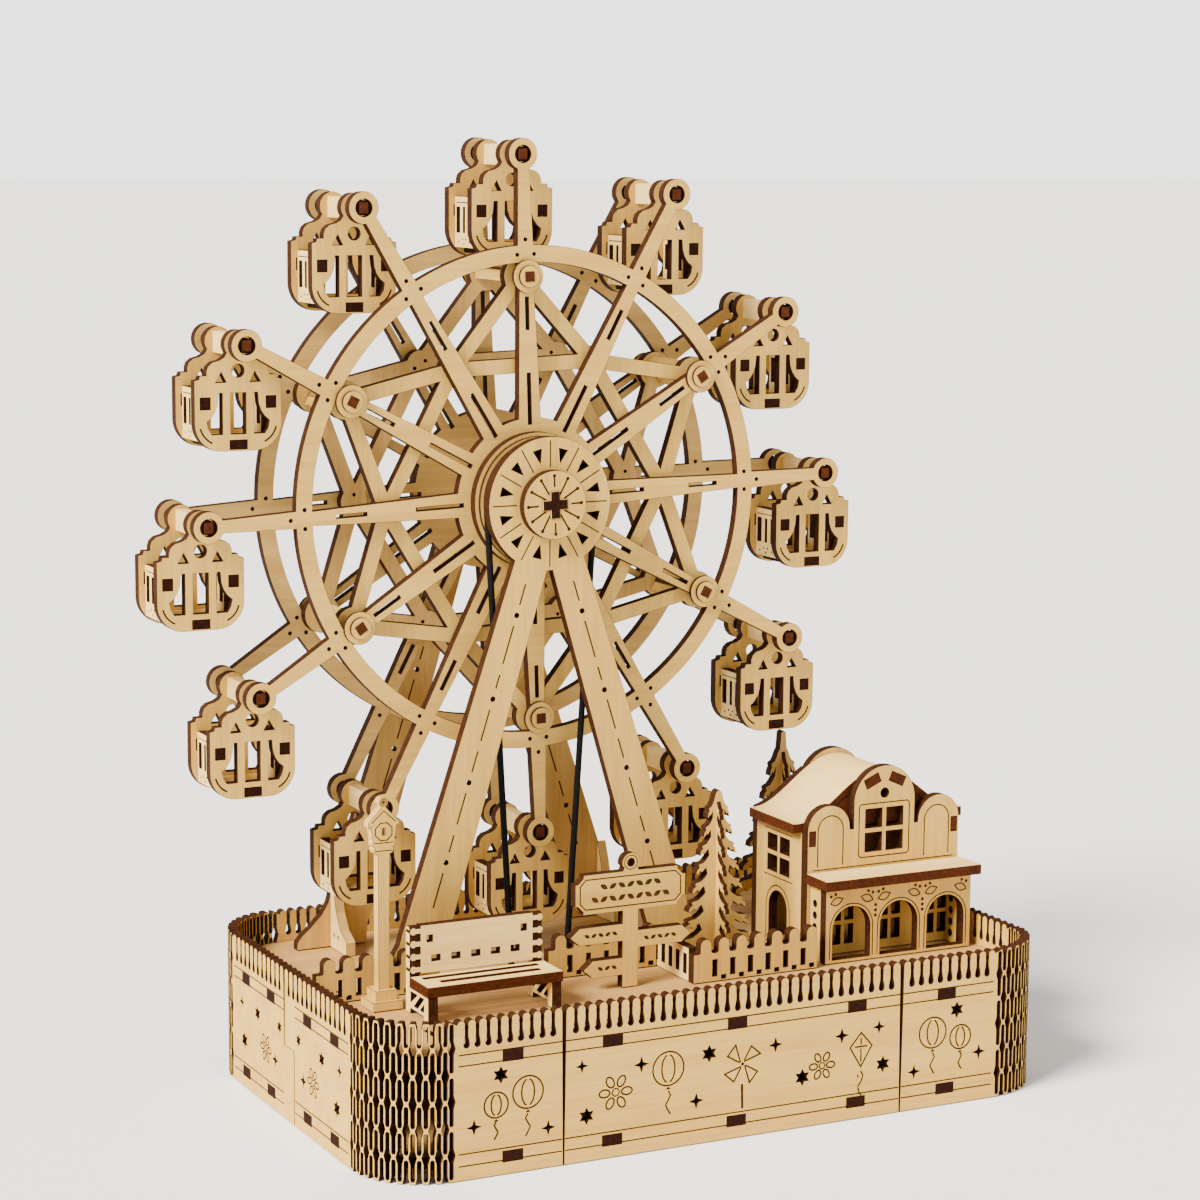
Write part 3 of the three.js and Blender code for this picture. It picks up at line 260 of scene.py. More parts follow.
def wood(tone="birch", grain="x"):
    name = f"{tone}_plywood_{grain}"
    if name not in woods:
        light, dark = TONES[tone]
        inputs = {"Light": light, "Dark": dark}
        woods[name], shader = textured(name, VENEER, GRAIN[grain], inputs, 0.25)
        shader.inputs["Specular IOR Level"].default_value = 0.22
    return woods[name]


def speckled(name, light, dark, scale, rough, metal=False):
    inputs = {"Light": (*light, 1), "Dark": (*dark, 1), "Smoothest": rough - 0.08, "Roughest": rough + 0.08}
    material, shader = textured(name, SPECKLE, scale, inputs, 0.1 if metal else 0.2)
    shader.inputs["Metallic"].default_value = 1.0 if metal else 0.0
    shader.inputs["Specular IOR Level"].default_value = 0.5 if metal else 0.08
    return material


scorched = speckled("scorched_edge", (0.052, 0.0165, 0.0045), (0.021, 0.0066, 0.0022), (900, 900, 900), 0.8)
charred = speckled("charred_end", (0.024, 0.005, 0.0012), (0.010, 0.0019, 0.0005), (900, 900, 900), 0.8)
engraved = speckled("engraved_line", (0.10, 0.043, 0.012), (0.05, 0.019, 0.006), (1200, 1200, 1200), 0.85)
red_edge = speckled("reddish_edge", (0.080, 0.019, 0.004), (0.038, 0.009, 0.002), (700, 700, 1400), 0.76)
rubber = speckled("belt_rubber", (0.006, 0.006, 0.006), (0.002, 0.002, 0.002), (1500, 1500, 1500), 0.75)
brass = speckled("satin_brass", (0.52, 0.34, 0.11), (0.38, 0.24, 0.07), (300, 2500, 300), 0.42, True)
steel = speckled("satin_steel", (0.46, 0.47, 0.49), (0.34, 0.35, 0.37), (2500, 300, 300), 0.36, True)


# ---- outlines

def arc(u, v, radius, start, end, steps):
    return [(u + radius * math.cos(start + (end - start) * i / steps),
             v + radius * math.sin(start + (end - start) * i / steps)) for i in range(steps + 1)]


def circle(u, v, radius, steps):
    return arc(u, v, radius, 0, 2 * math.pi, steps)[:-1]


def rectangle(u, v, width, height):
    return [(u - width / 2, v - height / 2), (u + width / 2, v - height / 2),
            (u + width / 2, v + height / 2), (u - width / 2, v + height / 2)]


def turned(points, angle):
    c, s = math.cos(angle), math.sin(angle)
    return [(u * c - v * s, u * s + v * c) for u, v in points]


def moved(points, u, v):
    return [(p[0] + u, p[1] + v) for p in points]


def mirrored(points):
    return [(-u, v) for u, v in reversed(points)]


def polar(radius, angle):
    return radius * math.cos(angle), radius * math.sin(angle)


def grown(points, distance):
    """The closed outline with each edge moved out, its corners mitred."""
    result = []
    for i, (u, v) in enumerate(points):
        pu, pv = points[i - 1]
        nu, nv = points[(i + 1) % len(points)]
        a = Vector((v - pv, pu - u)).normalized()
        b = Vector((nv - v, u - nu)).normalized()
        mitre = distance / max(1 + a.dot(b), 0.3)
        result.append((u + (a.x + b.x) * mitre, v + (a.y + b.y) * mitre))
    return result


def line(points, width=LINE):
    """The outline of an open stroke."""
    left, right = [], []
    for i, (u, v) in enumerate(points):
        before = Vector(points[max(i - 1, 0)])
        after = Vector(points[min(i + 1, len(points) - 1)])
        side = (after - before).normalized()
        left.append((u - side.y * width / 2, v + side.x * width / 2))
        right.append((u + side.y * width / 2, v - side.x * width / 2))
    return right + left[::-1]


def loop(points, width=LINE):
    """A closed stroke: its outer and its inner outline."""
    return [grown(points, width / 2), grown(points, -width / 2)]


def star(u, v, radius, tips):
    """Six tips make a broad star and four a slender one."""
    notch = radius * (0.55 if tips == 6 else 0.34)
    points = []
    for i in range(2 * tips):
        angle = math.pi / 2 + math.pi * i / tips
        reach = notch if i % 2 else radius
        points.append((u + reach * math.cos(angle), v + reach * math.sin(angle)))
    return points


# ---- sheets

def deselect():
    bpy.ops.object.select_all(action="DESELECT")


def choose(piece):
    deselect()
    piece.select_set(True)
    bpy.context.view_layer.objects.active = piece


def clean(piece):
    """Merges doubled corners and turns all faces outwards."""
    choose(piece)
    bpy.ops.object.mode_set(mode="EDIT")
    bpy.ops.mesh.select_all(action="SELECT")
    bpy.ops.mesh.remove_doubles(threshold=1e-6)
    bpy.ops.mesh.normals_make_consistent(inside=False)
    bpy.ops.object.mode_set(mode="OBJECT")


def wound(points, counter):
    """The points in counterclockwise order, or in clockwise order."""
    area = sum(a[0] * b[1] - b[0] * a[1] for a, b in zip(points, points[1:] + points[:1]))
    return points if (area > 0) == counter else points[::-1]


def sheet(outlines, plane, low, thickness=PLY, at=(0, 0), tone=None, edge=None, rim=SCORCH, corner=None):
    """Cuts a sheet: its rim, then its holes. Faces are veneer and cuts are burnt."""
    deselect()
    u, v = at
    middle = low + thickness / 2
    place = {"flat": (u, v, middle), "front": (u, middle, v), "side": (middle, u, v)}[plane]
    bpy.ops.object.add(type="CURVE", location=[c * MM for c in place], rotation=TURNS[plane])
    piece = bpy.context.object
    curve = piece.data
    curve.dimensions = "2D"
    curve.fill_mode = "BOTH"
    curve.extrude = (thickness / 2 - rim) * MM
    curve.bevel_depth = rim * MM
    curve.offset = -rim * MM
    curve.bevel_resolution = 0
    for index, outline in enumerate(outlines):
        outline = wound(outline, index == 0)
        spline = curve.splines.new("POLY")
        spline.points.add(len(outline) - 1)
        spline.points.foreach_set("co", [c for u, v in outline for c in (u * MM, v * MM, 0, 1)])
        spline.use_cyclic_u = True
    bpy.ops.object.convert(target="MESH")
    bpy.ops.object.transform_apply()
    clean(piece)
    piece.data.materials.clear()
    piece.data.materials.append(tone or wood())
    piece.data.materials.append(edge or scorched)
    if corner:
        piece.data.materials.append(corner)
    axis = {"flat": 2, "front": 1, "side": 0}[plane]
    for face in piece.data.polygons:
        facing = abs(face.normal[axis])
        face.material_index = 0 if facing > 0.95 else 2 if corner and facing > 0.3 else 1
        face.use_smooth = False
    return piece


def combine(piece, other, operation):
    choose(piece)
    modifier = piece.modifiers.new("cut", "BOOLEAN")
    modifier.operation = operation
    modifier.object = other
    modifier.solver = "MANIFOLD"
    modifier.material_mode = "TRANSFER"
    bpy.ops.object.modifier_apply(modifier=modifier.name)
    bpy.data.objects.remove(other)


def cut_out(piece, outlines, low):
    """Cuts holes through a sheet of the wheel or the stand."""
    cutter = sheet(outlines, "front", low - 1, PLY + 2, hub_place, scorched, scorched, 0)
    combine(piece, cutter, "DIFFERENCE")


def burnt_pin(outline, low, thickness, tone, at=(0, 0)):
    return sheet([outline], "front", low, thickness, at, tone, tone, PIN_SCORCH)


def united(parts):
    piece = parts[0]
    for part in parts[1:]:
        combine(piece, part, "UNION")
    return piece


def engrave(piece, groups, plane, face, depth=CUT_DEPTH, at=(0, 0)):
    """Cuts shallow burnt lines into a face. The strokes of one group don't touch each other."""
    for outlines in groups:
        cutter = sheet(outlines, plane, face - depth, 2 * depth, at, engraved, engraved, 0)
        combine(piece, cutter, "DIFFERENCE")


def joined(parts):
    deselect()
    for part in parts:
        part.select_set(True)
    bpy.context.view_layer.objects.active = parts[0]
    if len(parts) > 1:
        bpy.ops.object.join()
    return parts[0]


def copied(piece, x, y, z):
    choose(piece)
    bpy.ops.object.duplicate()
    copy = bpy.context.object
    copy.location = (x * MM, y * MM, z * MM)
    bpy.ops.object.transform_apply()
    return copy


def settle(parts, name, body, nodes):
    """Joins the parts to one finished piece that stands for its CAD nodes."""
    piece = joined(parts)
    piece.name = name
    piece.data.name = name
    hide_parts(*nodes)
    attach(piece, body)


# ---- base: floor, deck and walls

LONG_TENONS = [-70, -39.5, 0, 39.5, 70]
SIDE_TENONS = [-34.3, -14.2, 14.2, 34.3]
TENON = 6.0
CORNER = 21.1                   # outer radius of the box's corners
CORNER_WALL_START = 54.65       # from the middle of the box, along its length
COLUMNS = 19                    # columns of slots round a corner
RAIL_PITCH = 3.4
FLOOR_MIDDLE = 5.1
KEY_HOLE = 2.5
BELT_GAP = 11.1                 # from the middle of the wheel to the belt, at the deck
STARS = [(-47.5, 13, 2.3, 6), (-30.5, 25.5, 2.1, 4), (-13, 12.6, 2.1, 4), (-9, 25.8, 2.4, 6),
         (12.5, 25.6, 2, 4), (21.5, 14.8, 2.4, 6), (34.5, 25.4, 2.1, 4), (48.5, 15.2, 2.3, 6),
         (47, 26.5, 1.8, 4), (-49, 27.4, 1.7, 4)]
CORNER_STARS = [(19, 28.3, 2.3, 6), (27, 14.6, 2, 4), (4.6, 11.4, 1.9, 4)]
SIDE_STARS = [(10, 14.5, 2.4, 6), (21, 25.5, 2.1, 6), (35, 15.3, 2, 4), (8, 25.7, 1.6, 4),
              (38.5, 26.2, 1.7, 6)]


def tenoned_plate():
    """A plate that fits inside the walls, with tenons that reach through them."""
    outline = []
    u, v = base_half - CORNER, base_deep - CORNER
    for side, (cu, cv) in enumerate([(u, v), (-u, v), (-u, -v), (u, -v)]):
        long_side = side % 2
        reach = base_deep if long_side else base_half
        root = reach - PLY - FIT
        points = []
        for place in (LONG_TENONS if long_side else SIDE_TENONS):
            near, far = place - TENON / 2, place + TENON / 2
            points += [(root, near), (reach, near), (reach, far), (root, far)]
        start = side * math.pi / 2
        outline += turned(points, start)
        outline += arc(cu, cv, CORNER - PLY - FIT, start, start + math.pi / 2, 14)
    return moved(outline, base_x, base_y)


def rail(right, left):
    """The top edge of a wall, from right to left: round headed balusters and drop shaped gaps."""
    count = round((right - left) / RAIL_PITCH)
    pitch = (right - left) / count
    head = pitch / 2 - 0.42
    points = []
    for i in range(count):
        middle = right - (i + 0.5) * pitch
        points += arc(middle, wall_top - head, head, 0.1, math.pi - 0.1, 6)
        if i < count - 1:
            gap = right - (i + 1) * pitch
            side = [(0.5, 2.0), (0.4, 3.0), (0.46, 4.6), (0.78, 6.0)]
            points += [(gap + a, wall_top - b) for a, b in side]
            points += arc(gap, wall_top - 6.9, 0.88, 0, -math.pi, 6)
            points += [(gap - a, wall_top - b) for a, b in reversed(side)]
    return points


def wall_lines(left, right):
    heights = [wall_top - 9.6, wall_top - 12.7, 7.5, 4.1]
    return [rectangle((left + right) / 2, z, right - left, FINE) for z in heights]


def mortises(places):
    return [rectangle(place, z, TENON + 2 * FIT, PLY + 2 * FIT)
            for place in places for z in (FLOOR_MIDDLE, deck_top - PLY / 2)]


def flower(u, v, size):
    petal = [(size * (0.62 + 0.3 * a), size * 0.2 * b) for a, b in circle(0, 0, 1, 12)]
    outlines = []
    for k in range(6):
        outlines += loop(moved(turned(petal, math.pi / 3 * k), u, v))
    return outlines + loop(circle(u, v, size * 0.2, 12), FINE)


def leaf(u, v, size, angle):
    """The outline of a leaf that starts at its stalk."""
    side = [(size * t, size * 0.26 * math.sin(math.pi * t)) for t in (0.02, 0.15, 0.35, 0.55, 0.75, 0.92, 1)]
    return moved(turned(side + [(a, -b) for a, b in side[-2:0:-1]], angle), u, v)[::-1]


def leaf_row(middle, v, count, pitch, size):
    """Leaves in a row that lean up and down in turn."""
    leaves = []
    for k in range(count):
        angle = 0.55 if k % 2 else -0.55
        u = middle + (k - (count - 1) / 2) * pitch
        leaves.append(leaf(u - size / 2 * math.cos(angle), v - size / 2 * math.sin(angle), size, angle))
    return leaves


def balloon(u, v, size):
    """A round balloon with two gores, a knot and a curling string."""
    string = [(u + 0.16 * size * math.sin(1.54 * k), v - size * (1.3 + 0.28 * k)) for k in range(6)]
    bow = arc(0, 0, size, -1.35, 1.35, 10)
    gores = [line([(u + side * 0.42 * a, v + 0.82 * b) for a, b in bow]) for side in (-1, 1)]
    knot = [(u - 0.9, v - size - 1.1), (u + 0.9, v - size - 1.1), (u, v - size - 0.3)]
    return loop(circle(u, v, size, 28)) + [line(string)] + gores + [knot]


def pinwheel(u, v, size):
    blades = []
    for k in range(4):
        blade = [(0.9, 0.5), (size, 0.5), (size * 0.66, size * 0.62), (1.0, 1.0)]
        blades += loop(moved(turned(blade, math.pi / 2 * k + 0.3), u, v))
    stick = [(u - 0.1, v - size * 0.95), (u + 0.1, v - size * 2.1)]
    return blades + [circle(u, v, 0.5, 12), line(stick, 0.8)]


def kite(u, v, size):
    shape = [(u, v - size * 1.3), (u + size * 0.8, v), (u, v + size * 0.9), (u - size * 0.8, v)]
    tail = [(u + 0.8 * math.sin(1.4 * t), v - size * 1.55 - t * size * 0.34) for t in range(6)]
    bows = [[(u - 1.1, z - 0.8), (u - 0.5, z), (u - 1.1, z + 0.8)] for z in (v - size * 1.9, v - size * 2.6)]
    cross = [line([(u, v - size), (u, v - 0.6)]), line([(u, v + 0.6), (u, v + size * 0.55)]),
             line([(u - size * 0.45, v), (u + size * 0.45, v)])]
    return loop(shape) + [line(tail)] + cross + bows


def walls():
    left, right = span("wall_front")[0][0], span("wall_front")[1][0]
    for node in ("wall_front", "wall_rear"):
        front = node == "wall_front"
        y = span(node)[0][1]
        holes = mortises([base_x + place for place in LONG_TENONS[1:-1]])
        holes += [star(base_x + u, z, radius, tips) for u, z, radius, tips in STARS]
        if not front:
            key_x, _, key_z = joint_place("key_wind")
            holes.append(circle(key_x, key_z, KEY_HOLE, 24))
        outline = [(left, 0), (right, 0)] + rail(right, left)
        wall = sheet([outline] + holes, "front", y, tone=wood("birch", "x"))
        pictures = balloon(base_x - 22, 23.2, 4.9) + pinwheel(base_x + 1.8, 21.4, 6.2)
        pictures += flower(base_x + 28, 17.4, 4.6) + kite(base_x + 41, 21.4, 4.6)
        if front:
            pictures += flower(base_x - 38.5, 18.6, 5.6)
        engrave(wall, [wall_lines(left + 0.3, right - 0.3), pictures], "front", y if front else y + PLY)
        settle([wall], node + "_ply", "root", [node])


def lattice_slot(middle, centre, low, high):
    """A slot of the lattice, widest at its centre, where its neighbours end."""
    half, swell, taper = 0.56, 1.12, 1.9
    side = [(half, centre - taper), (swell, centre), (half, centre + taper)]
    return (arc(middle, low + 0.6, half, math.pi, 2 * math.pi, 6) + [(middle + a, z) for a, z in side]
            + arc(middle, high - 0.6, half, 0, math.pi, 6) + [(middle - a, z) for a, z in reversed(side)])


def lattice_notch(middle, edge, inward, row):
    """Half a slot, open at the upper or the lower edge of the wall."""
    half, mouth, depth = 0.56, 1.0, row - 1.3
    shape = [(mouth, 0), (half, 1.9), (half, depth)]
    shape += [(half * math.cos(t), depth + half * math.sin(t)) for t in (0.5, 1.0, 1.57, 2.14, 2.64)]
    shape += [(-half, depth), (-half, 1.9), (-mouth, 0)]
    return [(middle - inward * a, edge + inward * b) for a, b in shape]


def bend_wall(wall, straight, sx, sy):
    """Bends an unrolled wall round its corner of the box."""
    bend = CORNER * math.pi / 2
    corner_y = base_deep - CORNER
    cuts = 2 * COLUMNS
    choose(wall)
    bpy.ops.object.mode_set(mode="EDIT")
    for i in range(cuts + 1):
        bpy.ops.mesh.select_all(action="SELECT")
        bpy.ops.mesh.bisect(plane_co=((straight + bend * i / cuts) * MM, 0, 0), plane_no=(1, 0, 0))
    bpy.ops.object.mode_set(mode="OBJECT")
    for vertex in wall.data.vertices:
        s, inset, z = vertex.co.x / MM, vertex.co.y / MM, vertex.co.z
        if s <= straight:
            x, y = CORNER_WALL_START + s, base_deep - inset
        elif s <= straight + bend:
            angle = (s - straight) / CORNER
            x = base_half - CORNER + (CORNER - inset) * math.sin(angle)
            y = corner_y + (CORNER - inset) * math.cos(angle)
        else:
            x, y = base_half - inset, corner_y - (s - straight - bend)
        vertex.co = ((base_x + sx * x) * MM, (base_y + sy * y) * MM, z)
    clean(wall)


def corner_wall(right, rear, node):
    """A wall that bends round its corner on a lattice of slots, drawn unrolled and then bent."""
    sx, sy = (1 if right else -1), (1 if rear else -1)
    straight = base_half - CORNER - CORNER_WALL_START
    side_start = straight + CORNER * math.pi / 2
    corner_y = base_deep - CORNER
    reach_low = side_start + corner_y + 4 * sy - 0.15
    reach_high = side_start + corner_y - 3.5 * sy - 0.15
    first, last = straight - 0.4, side_start + 0.4
    pitch = (last - first) / COLUMNS
    row = wall_top / 6

    holes, open_columns = [], []
    for column in range(COLUMNS):
        middle = first + (column + 0.5) * pitch
        if column % 2:
            open_columns.append(middle)
        for low in ((1, 3) if column % 2 else (0, 2, 4)):
            holes.append(lattice_slot(middle, (low + 1) * row, low * row + 0.7, (low + 2) * row - 0.7))

    joint_height = 22.0
    outline = [(0, 0)]
    for middle in open_columns:
        outline += lattice_notch(middle, 0, 1, row)
    outline += [(reach_low, 0), (reach_low, joint_height), (reach_high, joint_height)]
    outline += rail(reach_high, last + 0.3)
    for middle in reversed(open_columns):
        outline += lattice_notch(middle, wall_top, -1, row)
    outline += rail(first - 0.3, 0)

    holes += mortises([LONG_TENONS[-1] - CORNER_WALL_START])
    holes += mortises([side_start + corner_y - place for place in SIDE_TENONS[2:]])
    holes += [star(*place) for place in CORNER_STARS]
    holes += [star(side_start + u, z, radius, tips) for u, z, radius, tips in SIDE_STARS]
    wall = sheet([outline] + holes, "front", 0, tone=wood("birch", "x"))
    lines = wall_lines(0.3, first - 1.2) + wall_lines(last + 1.2, min(reach_low, reach_high) - 0.4)
    pictures = flower(18, 18.5, 5) if rear else balloon(10.8, 22.4, 4.6) + balloon(20.4, 20.0, 3.6)
    pictures += flower(side_start + 27.5, 16.8, 4.6)
    engrave(wall, [lines, pictures], "front", 0)
    bend_wall(wall, straight, sx, sy)
    settle([wall], node + "_ply", "root", [node])


def box_of_base():
    walls()
    for side in ("left", "right"):
        for end in ("front", "rear"):
            corner_wall(side == "right", end == "rear", f"wall_corner_{end}_{side}")
    grain = wood("deck", "x")
    floor = sheet([tenoned_plate()], "flat", span("floor_plate")[0][2], tone=grain, edge=charred)
    settle([floor], "floor_plate_ply", "root", ["floor_plate"])
    belt_y = middle_of("drive_belt")[1]
    slots = [(wheel_x + side * BELT_GAP, belt_y, 3.4, 3.0) for side in (-1, 1)]
    slots += [(-52, -60, 6.5, 1.6), (-12, -60, 6.5, 1.6), (-68, -52, 1.6, 6), (3, -50, 6.5, 1.6),
              (-80, 20, 1.6, 7), (-79, -3, 7, 1.6), (60, 20, 7, 1.6), (88, 14, 7, 1.6), (52, -62, 6.5, 1.6)]
    holes = [rectangle(*slot) for slot in slots]
    deck = sheet([tenoned_plate()] + holes, "flat", deck_low[2], tone=grain, edge=charred)
    settle([deck], "deck_ply", "root", ["deck"])


# ---- wheel

PIVOT_RADIUS = 100              # where the cabins hang
TIE_RADIUS = 65                 # where the cross bars go through rims and stars
CROOK_RADIUS = 45               # inner corners of the stars
HUB_DISC = 20                   # radii of what sits on the axle
FLANGE, GROOVE = 19, 16
AXLE_CAP = 10
NARROW = 1.15                   # width of the slits in the spokes
PEG = 0.55                      # radius of the small holes and dots


def rim_sheet(node, tone):
    outer, inner, hub_radius = 74, 69, 24
    half_arm, half_neck, eye, eye_hole = 2.5, 1.85, 4.6, 2.55
    outline, holes = [], []
    for i, a in enumerate(spokes):
        half = math.asin(half_arm / outer)
        outline += arc(0, 0, outer, a - SECTOR / 2 + 0.02, a - half, 7)
        lobe = math.asin(half_neck / eye)
        outline += turned(arc(PIVOT_RADIUS, 0, eye, lobe - math.pi, math.pi - lobe, 26), a)
        outline += arc(0, 0, outer, a + half, a + SECTOR / 2 - 0.02, 7)
        ring_edge, hub_edge = math.asin(2.1 / inner), math.asin(3.6 / hub_radius)
        holes.append(arc(0, 0, inner, a + ring_edge, a + SECTOR - ring_edge, 14)
                     + arc(0, 0, hub_radius, a + SECTOR - hub_edge, a + hub_edge, 4))
        holes.append(moved(circle(0, 0, eye_hole, 24), *polar(PIVOT_RADIUS, a)))
        slits = [(29.5, 15, NARROW)]
        slits += [(57, 9.5, 1.1)] if i % 2 else [(54.3, 9.5, 1.1), (TIE_RADIUS, PLY + 2 * FIT, PLY + 2 * FIT)]
        holes += [turned(rectangle(r, 0, length, width), a) for r, length, width in slits]
        holes += [turned(circle(r, side, PEG, 8), a) for r, side in ((75.6, 0), (71.3, 2.7), (71.3, -2.7))]
    holes.append(turned(plus(FIT), TURN))
    rim = sheet([outline] + holes, "front", span(node)[0][1], at=hub_place, tone=tone)
    settle([rim], node + "_ply", "wheel", [node])


def plus(clearance):
    a, b = 1.5 + clearance, 4 + clearance
    arm = [(a, -b), (a, -a), (b, -a)]
    return [point for k in range(4) for point in turned(arm, math.pi / 2 * k)]


def star_sheet(node, tone):
    """A hexagram of bars with a round pad at each corner."""
    low = span(node)[0][1]
    half_bar, tip_pad, crook_pad = 2.2, 5.6, 4.3
    tips = [polar(TIE_RADIUS, a) for a in ties]
    crooks = [polar(CROOK_RADIUS, a + SECTOR) for a in ties]
    outline = grown([point for pair in zip(tips, crooks) for point in pair], half_bar)
    holes = [grown(crooks, -half_bar)]
    holes += [grown([tips[i], crooks[i], crooks[i - 1]], -half_bar) for i in range(6)]
    parts = [sheet([outline] + holes, "front", low, at=hub_place, tone=tone)]
    for tip, crook in zip(tips, crooks):
        parts.append(sheet([circle(*tip, tip_pad, 28)], "front", low, at=hub_place, tone=tone))
        parts.append(sheet([circle(*crook, crook_pad, 24)], "front", low, at=hub_place, tone=tone))
    piece = united(parts)
    for a in ties:
        cuts = [turned(rectangle(TIE_RADIUS, 0, PLY + FIT, PLY + FIT), a)]
        cuts += [circle(*polar(CROOK_RADIUS, a + SECTOR + turn), 0.6, 8) for turn in (-0.045, 0.045)]
        cut_out(piece, cuts, low)
    settle([piece], node + "_ply", "wheel", [node])


def cross_bars():
    """Bars between the stars. Their tenons go through rims and stars, with a washer and a cap on each end."""
    inner = 20.2                # between the two stars
    washer, washer_radius = 1.2, 4.8
    cap, cap_radius = 0.95, 3.2
    for number, a in enumerate(ties, 1):
        node = f"cross_bar_{number}"
        near, far = span(node)[0][1], span(node)[1][1]
        bar = turned(rectangle(TIE_RADIUS, 0, PLY, 8), a)
        tenon = turned(rectangle(TIE_RADIUS, 0, PLY, PLY), a)
        parts = [sheet([bar], "front", wheel_y - inner / 2, inner, hub_place, scorched, wood("birch", "y")),
                 sheet([tenon], "front", near - 0.25, far - near + 0.5, hub_place, red_edge, scorched)]
        u, v = polar(TIE_RADIUS, a)
        seat = cap - FIT
        for washer_low, cap_low in ((near + seat, near), (far - seat - washer, far - cap)):
            parts.append(sheet([circle(u, v, washer_radius, 36)], "front", washer_low, washer, hub_place))
            parts.append(sheet([circle(u, v, cap_radius, 28)], "front", cap_low, cap, hub_place))
        settle(parts, node + "_ply", "wheel", [node])


def bored_disc(radius, low, thickness, tone, steps=64):
    outlines = [circle(0, 0, radius, steps), turned(plus(FIT), TURN)]
    return sheet(outlines, "front", low, thickness, hub_place, tone)


def hub_side(side, tone):
    """The disc beside a rim, and the cap on the end of the axle with its twelve slits."""
    low, high = span(f"hub_disc_{side}")
    disc_top = low[1] + PLY
    parts = [bored_disc(HUB_DISC, low[1], PLY, tone)]
    if side == "rear":
        spacer = 7
        parts.append(bored_disc(spacer, disc_top, high[1] - disc_top, tone, 36))
    settle(parts, f"hub_disc_{side}_ply", "wheel", [f"hub_disc_{side}"])
    cap_low = span(f"axle_cap_{side}")[0][1]
    cap = bored_disc(AXLE_CAP, cap_low, PLY, tone, 48)
    angles = [TURN + k * SECTOR for k in range(12)]
    slits = [turned(line([(3.3 if k % 3 else 5.2, 0), (8.2, 0)], PEG), a) for k, a in enumerate(angles)]
    dots = [turned(circle(8.5, 0, PEG, 10), a) for a in angles]
    engrave(cap, [slits, dots], "front", cap_low if side == "front" else cap_low + PLY, 0.6, hub_place)
    settle([cap], f"axle_cap_{side}_ply", "wheel", [f"axle_cap_{side}"])


def hub():
    hub_side("front", wood("birch", "z"))
    # The rear disc and cap get birch painted darker as shade.
    hub_side("rear", wood("birch_in_shade", "z"))
    low, high = span("wheel_pulley")
    flange, lap = 1.3, 0.1
    groove = high[1] - low[1] - 2 * (flange - lap)
    # The front flange is dark all over as painted shade, seen through the triangles of the front stand.
    pulley = [bored_disc(FLANGE, low[1], flange, scorched),
              bored_disc(GROOVE, low[1] + flange - lap, groove, wood("birch", "z")),
              bored_disc(FLANGE, high[1] - flange, flange, wood("birch", "z"))]
    settle(pulley, "wheel_pulley_ply", "wheel", ["wheel_pulley"])
    low, high = span("axle")
    # The axle's sides get birch painted darker as shade inside the hub.
    shaft = sheet([turned(plus(0), TURN)], "front", low[1] - 0.3, high[1] - low[1] + 0.6, hub_place,
                  charred, wood("birch_in_shade", "y"))
    settle([shaft], "axle_ply", "wheel", ["axle"])


# ---- stand

def stand(node, tone):
    """Two legs that spread from a disc to flared feet, and on the rear stand two braces."""
    low = span(node)[0][1]
    drop = wheel_z - ground
    slope, top_half = 0.334, 5.85
    foot, crotch, disc, bore = 17.0, 17, 19.5, 4.7

    def outer(d):
        """The outer edge of a leg, at a depth below the axle."""
        return top_half + slope * d

    def width(d):
        return 10.7 + 5.3 * d / drop

    def middle(side, d):
        return side * (outer(d) - width(d) / 2), -d

    right = [(outer(0), 0), (outer(drop - foot), foot - drop)]
    for t, flare in ((0.2, -0.2), (0.4, 0.8), (0.6, 3.0), (0.75, 5.2), (0.87, 6.1), (1, 5.5)):
        d = drop - foot + foot * t
        right.append((outer(d) + flare, -d))
    right += [(outer(drop) - width(drop) - 1.2, -drop), (outer(drop - 6) - width(drop - 6), 6 - drop),
              (outer(crotch) - width(crotch), -crotch), (0, -crotch), (0, 0)]
    outlines = (circle(0, 0, disc, 72), right, mirrored(right))
    piece = united([sheet([outline], "front", low, at=hub_place, tone=tone) for outline in outlines])
    cuts = [circle(0, 0, bore, 32)]
    cuts += [turned([(11.9, 0), (16.3, -1.55), (16.3, 1.55)], (k + 0.5) * SECTOR) for k in range(12)]
    cuts += [circle(*middle(side, d), 0.85, 12) for side in (-1, 1) for d in (32, 56, 80, 103)]
    cut_out(piece, cuts, low)
    strokes = [turned(line([(10.6, 0), (18.4, 0)], FINE), k * SECTOR) for k in range(12)]
    dashes = ((23, 29), (35, 46), (49, 53), (59, 68), (71, 77), (83, 92), (95, 100), (106, 116))
    strokes += [line([middle(side, first), middle(side, last)]) for side in (-1, 1) for first, last in dashes]
    for face in (low, low + PLY):
        engrave(piece, [strokes], "front", face, at=hub_place)
    parts = [piece]
    if "rear" in node:
        edge = [(0.05, 0), (0.05, 24), (2.2, 19), (4.5, 11.5), (8, 6.6), (11.5, 4.8), (12.6, 4), (12.6, 0)]
        brace = [(low - reach, ground + height) for reach, height in edge]
        holes = [circle(low - reach, ground + 4.2, 0.6, 10) for reach in (6.2, 3)]
        # The braces' faces get the pale birch, partly as painted light, and their cut faces birch painted
        # darker as shade.
        face, cut = wood("pale_and_lit", "z"), wood("birch_in_shade", "z")
        parts += [sheet([brace] + holes, "side", x, PLY, (0, 0), face, cut, corner=scorched)
                  for x in (wheel_x - 47, wheel_x + 44)]
    settle(parts, node + "_ply", "root", [node])


# ---- cabins, drawn from the bar they hang on

FACADES = -9.5, 6.5             # where the front and the rear facade start
PINS = -9.4, 6.4                # where the pins in them start
SIDE_PIN = 9.8, -16.4           # the pins of the side walls
FLOOR_PIN = -28.2               # the pins of the floor
HALF_CABIN = 13
BOTTOM_ROUND = 8                # radius of its lower corners


